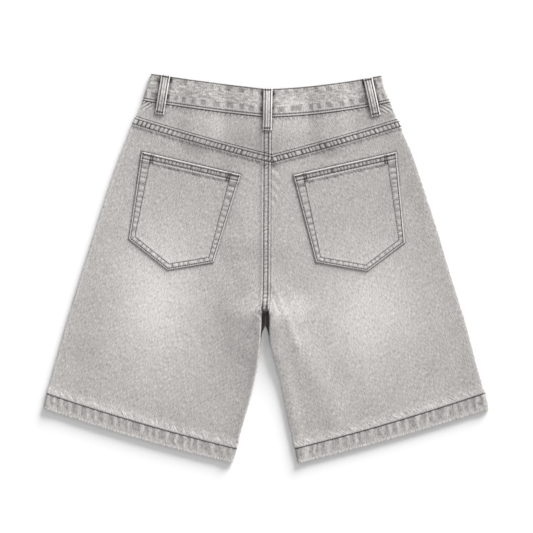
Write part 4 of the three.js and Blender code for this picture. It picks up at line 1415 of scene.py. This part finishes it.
def build_loop(name, line, is_back):
    x1, y1, x2, y2 = line
    length = math.hypot(x2 - x1, y2 - y1)
    along = graded(length, 0.8, (0.5, 5.0), (0.5, 6.0))
    across = graded(LOOP.width, 0.62, (0.4, 2.5), (0.4, 2.5)) - LOOP.width / 2.0
    f = (along / length)[:, None]
    side_x = -(y2 - y1) / length
    side_y = (x2 - x1) / length
    x = mix(x1, x2, f) + side_x * across[None, :]
    y = mix(y1, y2, f) + side_y * across[None, :]
    if is_back:
        side = "left" if x1 < 0 else "right"
        t = np.clip(back_height_at(side, x, y), WAIST, YOKE_SEAM - 0.01)
        over_band = fall(t, BAND_SEAM + 0.02, BAND_SEAM + 0.3)
        step = mix(RIDGE if name == "centre" else 0.0, BAND - CLOTH, over_band)
        base = (upper_top_at(x, y, BAND_SEAM + 0.01) + step + GAP
                + LOOP.arch * np.sin(math.pi * f) ** 2)
    else:
        base = np.zeros(x.shape)
    a = np.broadcast_to(along[:, None], x.shape)
    w = LOOP.width / 2.0 - np.abs(np.broadcast_to(across[None, :], x.shape))
    face = Face(np.stack([x, y, base], axis=-1), across=x, down=y)
    seed = 500 + int(abs(x1))
    height = np.zeros(x.shape)
    height -= 0.65 * fall(w, 0.0, 1.2)
    height -= 0.4 * bell(w, LOOP_ROW, 0.6)
    height -= 0.5 * fall(np.minimum(a, length - a), 0.0, 1.2)
    rib = np.cos(2.0 * math.pi * (w - 4.7) / 3.7) * ramp(w, 3.2, 3.9)
    height += 0.18 * rib
    bars = bell(a, 2.2, 1.0) + bell(length - a, 3.6, 0.9)
    height -= 0.2 * bars
    dots = 0.55 + 0.25 * np.cos(2.0 * math.pi * a / 2.9) + 0.3 * noise(seed + 1, x / 1.5, y / 3.0)
    # Painted shade in the sunk rows of stitches, and darker dotted valleys between the ribs
    dark = 0.74 * bell(w, LOOP_ROW, 0.75) + 0.50 * dots * np.maximum(-rib, 0.0)
    dark += 0.8 * bars * ramp(w, 0.8, 1.6)
    light = 0.95 * fall(w, 1.2, 2.1) + 0.50 * np.maximum(rib, 0.0)
    light += 0.5 * fall(length - a, 1.2, 2.6)
    light += 0.16 * ramp(w, 2.7, 3.4) * (1.0 + noise(seed, x / 2.0, y / 5.0))
    face.light = light
    face.dark = dark + 0.02
    add_mottle(face, 160, 0.7)
    if is_back:
        top = base + LOOP.thickness + height
        bottom = base
    else:
        top = np.maximum(0.0, -height * 0.6)
        bottom = base + LOOP.thickness
    face.points = np.stack([x, y, top], axis=-1)
    face.normal = np.broadcast_to(UP if is_back else DOWN, face.points.shape)
    face.along = along
    inner = np.stack([x, y, bottom], axis=-1)
    keep_cloth(("belt_loop_back_" if is_back else "belt_loop_front_") + name, face, inner)


for hand in HAND:
    build_back(hand)
    build_yoke(hand)
    build_front(hand)
    build_hem(hand)
    build_pocket(hand)
build_waistband()
for key, ends in BACK_LOOPS.items():
    build_loop(key, ends, True)
for key, ends in FRONT_LOOPS.items():
    build_loop(key, ends, False)


def on_cloth(face, line):
    """Points of the plan at the height of the nearest grid points, evened out, and their normals."""
    flat = face.points.reshape(-1, 3)
    up = face.normal.reshape(-1, 3)
    nearest = [int(np.argmin((flat[:, 0] - x) ** 2 + (flat[:, 1] - y) ** 2)) for x, y in line]
    return np.column_stack([line, evened(flat[nearest, 2], 2)]), up[nearest]


class Stitches:
    """Rows of stitches, joined into one mesh."""

    def __init__(self):
        self.points = []
        self.quads = []
        self.count = 0

    def row(self, points, normals, pitch=3.3, share=0.80, radius=0.50, rise=0.22):
        """Stitches along a line of points on the cloth."""
        run = run_along(points)
        number = max(1, int(run[-1] / pitch))
        starts = np.arange(number) * run[-1] / number
        shares = np.array([0.0, 0.2, 0.5, 0.8, 1.0])
        lift = np.array([-0.35, 0.6, 1.0, 0.6, -0.35]) * rise
        size = np.array([0.7, 1.0, 1.08, 1.0, 0.7]) * radius
        at = starts[:, None] + shares[None, :] * pitch * share
        centre = np.stack([np.interp(at, run, points[:, k]) for k in range(3)], axis=-1)
        normal = np.stack([np.interp(at, run, normals[:, k]) for k in range(3)], axis=-1)
        normal /= np.linalg.norm(normal, axis=-1, keepdims=True)
        ahead = centre[:, 4:5] - centre[:, 0:1]
        ahead = ahead / np.maximum(np.linalg.norm(ahead, axis=-1, keepdims=True), 1e-6)
        across = np.cross(normal, np.broadcast_to(ahead, normal.shape))
        centre = centre + normal * lift[None, :, None]
        sides = 5
        angles = np.arange(sides) * 2.0 * math.pi / sides
        ring = (across[:, :, None, :] * np.cos(angles)[None, None, :, None]
                + 0.8 * normal[:, :, None, :] * np.sin(angles)[None, None, :, None])
        made = centre[:, :, None, :] + ring * size[None, :, None, None]
        base = self.count + np.arange(number)[:, None, None] * (5 * sides)
        i = np.arange(4)[None, :, None] * sides
        k = np.arange(sides)[None, None, :]
        k2 = (k + 1) % sides
        quads = np.stack([base + i + k, base + i + k2, base + i + sides + k2, base + i + sides + k], axis=-1)
        self.points.append(made.reshape(-1, 3))
        self.quads.append(quads.reshape(-1, 4))
        self.count += number * 5 * sides

    def on_face(self, face, rows, cols, **options):
        points, normals = face.at(np.asarray(rows, dtype=float), np.asarray(cols, dtype=float))
        self.row(points, normals, **options)

    def across(self, face, at, first, last, count=500, **options):
        """A row across a face between two columns, at a distance down it."""
        row = row_of(face.down[:, 0], at)
        self.on_face(face, np.full(count, row), np.linspace(first, last, count), **options)

    def over(self, face, line, **options):
        """A row along points of the plan, laid on the nearest cloth."""
        points, normals = on_cloth(face, line)
        self.row(points, normals, **options)

    def made(self, name):
        return make_mesh(name, np.concatenate(self.points), np.concatenate(self.quads), [])


def row_of(values, wanted):
    """Fractional index of a distance in a rising list."""
    return float(np.interp(wanted, values, np.arange(len(values))))


stitching = {name: Stitches() for name in ("seam", "hem", "waistband", "pocket", "loop")}

# Seams of the seat and the yoke
for hand in HAND:
    face = faces["back_" + hand]
    for at in YOKE_ROWS:
        stitching["seam"].across(face, at, 1.0, face.shape[1] - 2.5)
for name, top, bottom in (("yoke_left", 259.0, 166.0), ("back_left", 152.0, -60.0)):
    ys = np.linspace(top, bottom, 400)
    for at in SEAT_ROWS:
        line = np.column_stack([read_table(SEAT_FOLD, "x", ys) - GAP / 2.0 - at, ys])
        stitching["seam"].over(faces[name], line)
# Bar at the end of the seat seam
for k in range(3):
    line = np.column_stack([np.linspace(-6.6, 3.8, 24), np.full(24, -59.6 - 0.8 * k)])
    stitching["seam"].over(faces["back_left"], line, pitch=5.2, share=0.99, radius=0.40, rise=0.1)

# Fly and front seam, pressed against the surface
for line in FRONT_ROWS:
    stitching["seam"].over(faces["front_left"], line, rise=0.1)

# Hems and waistband
for hand in HAND:
    face = faces["hem_" + hand]
    stitching["hem"].across(face, HEM_ROW, 0, face.shape[1] - 1, 1200, radius=0.62)
face = faces["waistband"]
for at in (BAND_ROWS[0], face.down[-1, 0] - BAND_ROWS[1]):
    stitching["waistband"].across(face, at, 1, face.shape[1] - 2, 1600)


def inset_corners(shape, top_gap, side_gap):
    """Corners of the pocket's outline, with its edges moved in by the gaps."""
    edges = pocket_edges(shape)
    gaps = (top_gap, side_gap, side_gap, side_gap, side_gap)
    middle = np.mean([(e[0], e[1]) for e in edges], axis=0)
    moved = []
    for edge, gap in zip(edges, gaps):
        a = np.array(edge[:2])
        b = np.array(edge[2:])
        normal = np.array([-(b - a)[1], (b - a)[0]]) / np.linalg.norm(b - a)
        if np.dot(middle - a, normal) < 0:
            normal = -normal
        moved.append((a + normal * gap, b + normal * gap))
    corners = []
    for k in range(5):
        p, q = moved[k - 1]
        r, s = moved[k]
        matrix = np.array([q - p, r - s]).T
        share = np.linalg.solve(matrix, r - p)
        corners.append(p + share[0] * (q - p))
    return corners


def pocket_line(name, points, **options):
    """A row of stitches over the pocket along straight pieces between points."""
    run = []
    for a, b in zip(points[:-1], points[1:]):
        count = max(3, int(np.linalg.norm(b - a) / 1.2))
        run += [mix(a, b, f) for f in np.linspace(0.0, 1.0, count, endpoint=False)]
    run.append(points[-1])
    points, _ = on_cloth(faces[name], np.array(run))
    stitching["pocket"].row(points, np.tile(UP, (len(points), 1)), **options)


TOP_ROW, LOW_ROW = POCKET_TOP_ROWS
for hand, shape in POCKETS.items():
    name = "pocket_" + hand
    wide, narrow = POCKET_INNER_ROW
    rim = inset_corners(shape, 1.6, POCKET_SIDE_ROW)
    pocket_line(name, rim[1:] + rim[:1])
    upper = inset_corners(shape, LOW_ROW + 1.0, wide)
    lower = inset_corners(shape, LOW_ROW + 1.0, narrow)
    pocket_line(name, [upper[1], *lower[2:], upper[0]], radius=0.42)
    for top in POCKET_TOP_ROWS:
        pocket_line(name, inset_corners(shape, top, POCKET_SIDE_ROW)[:2])
    # Bars at the ends of the top band, then the upright rows that close it
    near = inset_corners(shape, TOP_ROW + 0.3, POCKET_SIDE_ROW)
    far = inset_corners(shape, TOP_ROW + 0.3, POCKET_POSTS[0])
    for k in range(2):
        pocket_line(name, [near[k], far[k]], pitch=6.0, share=0.99, radius=0.70)
    for post in POCKET_POSTS:
        upper = inset_corners(shape, TOP_ROW - 1.0, post)
        lower = inset_corners(shape, LOW_ROW + 2.0, post)
        for k in range(2):
            pocket_line(name, [upper[k], lower[k]], radius=0.55)

# Belt loops
for name in [key for key in faces if key.startswith("belt_loop")]:
    face = faces[name]
    rows = np.linspace(3, face.shape[0] - 6, 300)
    width_at = np.hypot(face.x[0] - face.x[0, 0], face.y[0] - face.y[0, 0])
    for at in (LOOP_ROW, LOOP.width - LOOP_ROW):
        stitching["loop"].on_face(face, rows, np.full(300, row_of(width_at, at)), radius=0.36, rise=0.15)
    cols = np.linspace(row_of(width_at, 1.0), row_of(width_at, LOOP.width - 1.0), 20)
    for at in (1.6, 2.6, face.along[-1] - 4.1, face.along[-1] - 3.1):
        row = row_of(face.along, at)
        stitching["loop"].on_face(face, np.full(20, row), cols, pitch=3.6, share=0.98, radius=0.5, rise=0.15)

for name, stitches in stitching.items():
    objects[name + "_stitching"] = stitches.made(name + "_stitching")


def node_material(name):
    material = bpy.data.materials.new(name)
    material.use_nodes = True
    tree = material.node_tree
    shader = tree.nodes["Principled BSDF"]
    return material, tree, shader


def feed(tree, socket, value):
    """Gives a socket a constant, or the output of another node."""
    if isinstance(value, bpy.types.NodeSocket):
        tree.links.new(value, socket)
    else:
        socket.default_value = value


def set_inputs(node, values):
    for key, value in values.items():
        node.inputs[key].default_value = value


def math_node(tree, operation, a, b, clamp=False):
    node = tree.nodes.new("ShaderNodeMath")
    node.operation = operation
    node.use_clamp = clamp
    for socket, value in zip(node.inputs, (a, b)):
        feed(tree, socket, value)
    return node.outputs[0]


def centred(tree, source, strength):
    """Noise round zero instead of round one half, times its strength."""
    return math_node(tree, "MULTIPLY", math_node(tree, "SUBTRACT", source, 0.5), strength)


def noise_node(tree, vector, scale, detail, roughness):
    node = tree.nodes.new("ShaderNodeTexNoise")
    set_inputs(node, {"Scale": scale, "Detail": detail, "Roughness": roughness})
    tree.links.new(vector, node.inputs["Vector"])
    return node.outputs["Fac"]


def wave_node(tree, vector, direction, values):
    node = tree.nodes.new("ShaderNodeTexWave")
    node.bands_direction = direction
    set_inputs(node, values)
    tree.links.new(vector, node.inputs["Vector"])
    return node.outputs["Fac"]


def object_place(tree):
    return tree.nodes.new("ShaderNodeTexCoord").outputs["Object"]


def uv_node(tree, name):
    node = tree.nodes.new("ShaderNodeUVMap")
    node.uv_map = name
    return node.outputs["UV"]


def mapped(tree, vector, scale, rotation=0.0):
    node = tree.nodes.new("ShaderNodeMapping")
    set_inputs(node, {"Scale": scale, "Rotation": (0.0, 0.0, rotation)})
    tree.links.new(vector, node.inputs["Vector"])
    return node.outputs["Vector"]


def mix_colour(tree, amount, a, b):
    node = tree.nodes.new("ShaderNodeMix")
    node.data_type = "RGBA"
    # The mix node keeps a socket for each type of data: these are its factor and its two colours
    for index, value in ((0, amount), (6, a), (7, b)):
        feed(tree, node.inputs[index], value)
    return node.outputs[2]


def add_bump(tree, shader, height, strength, distance):
    bump = tree.nodes.new("ShaderNodeBump")
    set_inputs(bump, {"Strength": strength, "Distance": distance})
    tree.links.new(height, bump.inputs["Height"])
    tree.links.new(bump.outputs["Normal"], shader.inputs["Normal"])


def linear(r, g, b):
    """Linear colour from 8-bit screen values."""
    values = []
    for c in (r, g, b):
        s = c / 255.0
        values.append(s / 12.92 if s <= 0.04045 else ((s + 0.055) / 1.055) ** 2.4)
    return values


EXPOSURE = 1.12


def albedo(r, g, b):
    return tuple(v / EXPOSURE for v in linear(r, g, b)) + (1.0,)


def denim_material():
    material, tree, shader = node_material("washed_denim")
    grain = uv_node(tree, "grain")
    # Worn tone, painted shade and painted light of the cloth, kept on the mesh
    wear_and_shade = tree.nodes.new("ShaderNodeVertexColor")
    wear_and_shade.layer_name = "wear_and_shade"
    parts = tree.nodes.new("ShaderNodeSeparateColor")
    tree.links.new(wear_and_shade.outputs["Color"], parts.inputs["Color"])
    streak = noise_node(tree, mapped(tree, grain, (740.0, 205.0, 1.0)), 1.0, 2.0, 0.60)
    slub = noise_node(tree, mapped(tree, grain, (330.0, 60.0, 1.0)), 1.0, 2.0, 0.5)
    speck = noise_node(tree, mapped(tree, grain, (820.0, 560.0, 1.0), 0.4), 1.0, 2.0, 0.7)
    cloud = noise_node(tree, grain, 46.0, 3.0, 0.55)
    stroke = noise_node(tree, mapped(tree, uv_node(tree, "strokes"), (470.0, 80.0, 1.0)), 1.0, 2.0, 0.55)
    stroke = math_node(tree, "MULTIPLY", centred(tree, stroke, 4.6), parts.outputs["Blue"])
    tone = centred(tree, streak, 2.6)
    for source, strength in ((slub, 0.50), (speck, 1.1), (cloud, 0.10)):
        tone = math_node(tree, "ADD", tone, centred(tree, source, strength))
    tone = math_node(tree, "ADD", tone, math_node(tree, "MULTIPLY", stroke, 0.62))
    light = math_node(tree, "ADD", parts.outputs["Red"], math_node(tree, "MAXIMUM", tone, 0.0), True)
    dark = math_node(tree, "ADD", parts.outputs["Green"],
                     math_node(tree, "MULTIPLY", math_node(tree, "MINIMUM", tone, 0.0), -0.62), True)
    base = albedo(180.5, 177.5, 175)
    pale = albedo(227, 224, 221)
    deep = albedo(62, 61, 60)
    colour = mix_colour(tree, light, base, pale)
    colour = mix_colour(tree, dark, colour, deep)
    tree.links.new(colour, shader.inputs["Base Color"])
    shader.inputs["Roughness"].default_value = 0.92
    shader.inputs["Specular IOR Level"].default_value = 0.12
    shader.inputs["Sheen Weight"].default_value = 0.06
    shader.inputs["Sheen Roughness"].default_value = 0.5
    ribs = mapped(tree, grain, (190.0, 190.0, 1.0), math.radians(-27))
    twill = wave_node(tree, ribs, "X", {"Scale": 1.0, "Distortion": 1.4, "Detail": 2.0, "Detail Scale": 1.6})
    height = math_node(tree, "MULTIPLY", twill, 0.5)
    height = math_node(tree, "ADD", height, streak)
    for source, strength in ((speck, 0.7), (stroke, 1.1)):
        height = math_node(tree, "ADD", height, math_node(tree, "MULTIPLY", source, strength))
    add_bump(tree, shader, height, 0.30, 0.0004)
    return material


def thread_material():
    material, tree, shader = node_material("grey_thread")
    fine = noise_node(tree, object_place(tree), 900.0, 2.0, 0.6)
    colour = mix_colour(tree, fine, albedo(52, 51, 50), albedo(98, 96, 94))
    tree.links.new(colour, shader.inputs["Base Color"])
    shader.inputs["Roughness"].default_value = 0.7
    shader.inputs["Specular IOR Level"].default_value = 0.25
    add_bump(tree, shader, fine, 0.35, 0.0002)
    return material


def metal_material():
    material, tree, shader = node_material("aged_metal")
    tarnish = noise_node(tree, object_place(tree), 420.0, 4.0, 0.6)
    colour = mix_colour(tree, tarnish, (0.16, 0.155, 0.15, 1.0), (0.42, 0.41, 0.40, 1.0))
    tree.links.new(colour, shader.inputs["Base Color"])
    shader.inputs["Metallic"].default_value = 0.95
    rough = math_node(tree, "ADD", math_node(tree, "MULTIPLY", tarnish, 0.35), 0.22)
    tree.links.new(rough, shader.inputs["Roughness"])
    add_bump(tree, shader, tarnish, 0.3, 0.0002)
    return material


def tape_material():
    material, tree, shader = node_material("zip_tape")
    place = object_place(tree)
    rib = wave_node(tree, place, "Y", {"Scale": 260.0, "Distortion": 0.6})
    fuzz = noise_node(tree, place, 1500.0, 2.0, 0.6)
    mixed = math_node(tree, "MULTIPLY", rib, fuzz)
    colour = mix_colour(tree, mixed, albedo(96, 94, 92), albedo(150, 147, 144))
    tree.links.new(colour, shader.inputs["Base Color"])
    shader.inputs["Roughness"].default_value = 0.85
    add_bump(tree, shader, mixed, 0.4, 0.0003)
    return material


denim = denim_material()
thread = thread_material()
metal = metal_material()
tape = tape_material()

# What shows of each cut piece, laid flat: width, length and area in metres, and what it lies on
CUTS = {
    "back_left": (0.324, 0.480, 0.1115, ["front_left"]),
    "back_right": (0.314, 0.476, 0.1085, ["front_right"]),
    "yoke_left": (0.196, 0.079, 0.0079, ["front_left"]),
    "yoke_right": (0.185, 0.078, 0.0074, ["front_right"]),
    "front_left": (0.327, 0.504, 0.1157, ["floor"]),
    "front_right": (0.323, 0.502, 0.1153, ["floor"]),
    "waistband": (0.750, 0.0405, 0.0303, ["floor"]),
    "hem_left": (0.590, 0.0235, 0.0138, ["floor"]),
    "hem_right": (0.600, 0.0240, 0.0143, ["floor"]),
    "pocket_left": (0.161, 0.1715, 0.0205, ["back_left"]),
    "pocket_right": (0.161, 0.173, 0.0208, ["back_right"]),
    "belt_loop_back_left": (0.013, 0.058, 0.00075, ["waistband", "yoke_left"]),
    "belt_loop_back_centre": (0.013, 0.061, 0.00079, ["waistband", "yoke_right"]),
    "belt_loop_back_right": (0.013, 0.056, 0.00072, ["waistband", "yoke_right"]),
    "belt_loop_front_left": (0.013, 0.058, 0.00075, ["floor"]),
    "belt_loop_front_right": (0.013, 0.058, 0.00075, ["floor"]),
}

for name, made in objects.items():
    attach(made, "root")
    if name not in CUTS:
        made.data.materials.append(thread)
        continue
    made.data.materials.append(denim)
    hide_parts(name)

for node, material in (("fly_zip", tape), ("button", metal)):
    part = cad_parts[node]
    part.data.materials.clear()
    part.data.materials.append(material)

# Floor, just under the surface that the cloth touches, in metres
FLOOR_HALF = 6.0
FLOOR_DROP = 0.0002
floor_mesh = bpy.data.meshes.new("floor")
floor_corners = [(x * FLOOR_HALF, y * FLOOR_HALF, 0.0) for x, y in ((-1, -1), (1, -1), (1, 1), (-1, 1))]
floor_mesh.from_pydata(floor_corners, [], [(0, 1, 2, 3)])
floor = bpy.data.objects.new("floor", floor_mesh)
bpy.context.scene.collection.objects.link(floor)
floor_material, _, floor_shader = node_material("pale_floor")
floor_shader.inputs["Base Color"].default_value = (0.91, 0.91, 0.91, 1.0)
floor_shader.inputs["Roughness"].default_value = 1.0
floor_shader.inputs["Specular IOR Level"].default_value = 0.0
floor_mesh.materials.append(floor_material)
floor.location.z = -FLOOR_DROP

# Light: an even sky, and a wide low light from the waist's right side
SKY_STRENGTH = 0.58
SUN_STRENGTH = 0.57
SUN_HEIGHT = math.radians(11)
SUN_SPREAD = math.radians(36)
SUN_FROM = (0.5, 0.86)
world = bpy.data.worlds.new("studio")
world.use_nodes = True
set_inputs(world.node_tree.nodes["Background"], {"Color": (1.0, 1.0, 1.0, 1.0), "Strength": SKY_STRENGTH})
bpy.context.scene.world = world
sun_data = bpy.data.lights.new("soft_light", "SUN")
sun_data.energy = SUN_STRENGTH * math.pi / math.sin(SUN_HEIGHT)
sun_data.angle = SUN_SPREAD
sun = bpy.data.objects.new("soft_light", sun_data)
bpy.context.scene.collection.objects.link(sun)
sun.rotation_euler = (math.pi / 2 - SUN_HEIGHT, 0.0, math.atan2(SUN_FROM[0], -SUN_FROM[1]))

# Camera straight above, far off, with the photograph's frame, in metres
FRAME_WIDTH = 0.7729
FRAME_MIDDLE = (0.0002, 0.0030, 0.008)
CAMERA_AWAY = 5.0
SENSOR = 36.0
camera_data = bpy.data.cameras.new("camera")
camera_data.sensor_width = SENSOR
camera_data.lens = SENSOR * CAMERA_AWAY / FRAME_WIDTH
camera_data.clip_end = 10.0 * CAMERA_AWAY
camera = bpy.data.objects.new("camera", camera_data)
camera.location = (FRAME_MIDDLE[0], FRAME_MIDDLE[1], CAMERA_AWAY + FRAME_MIDDLE[2])
bpy.context.scene.collection.objects.link(camera)
bpy.context.scene.camera = camera
bpy.context.scene.view_settings.view_transform = "Standard"
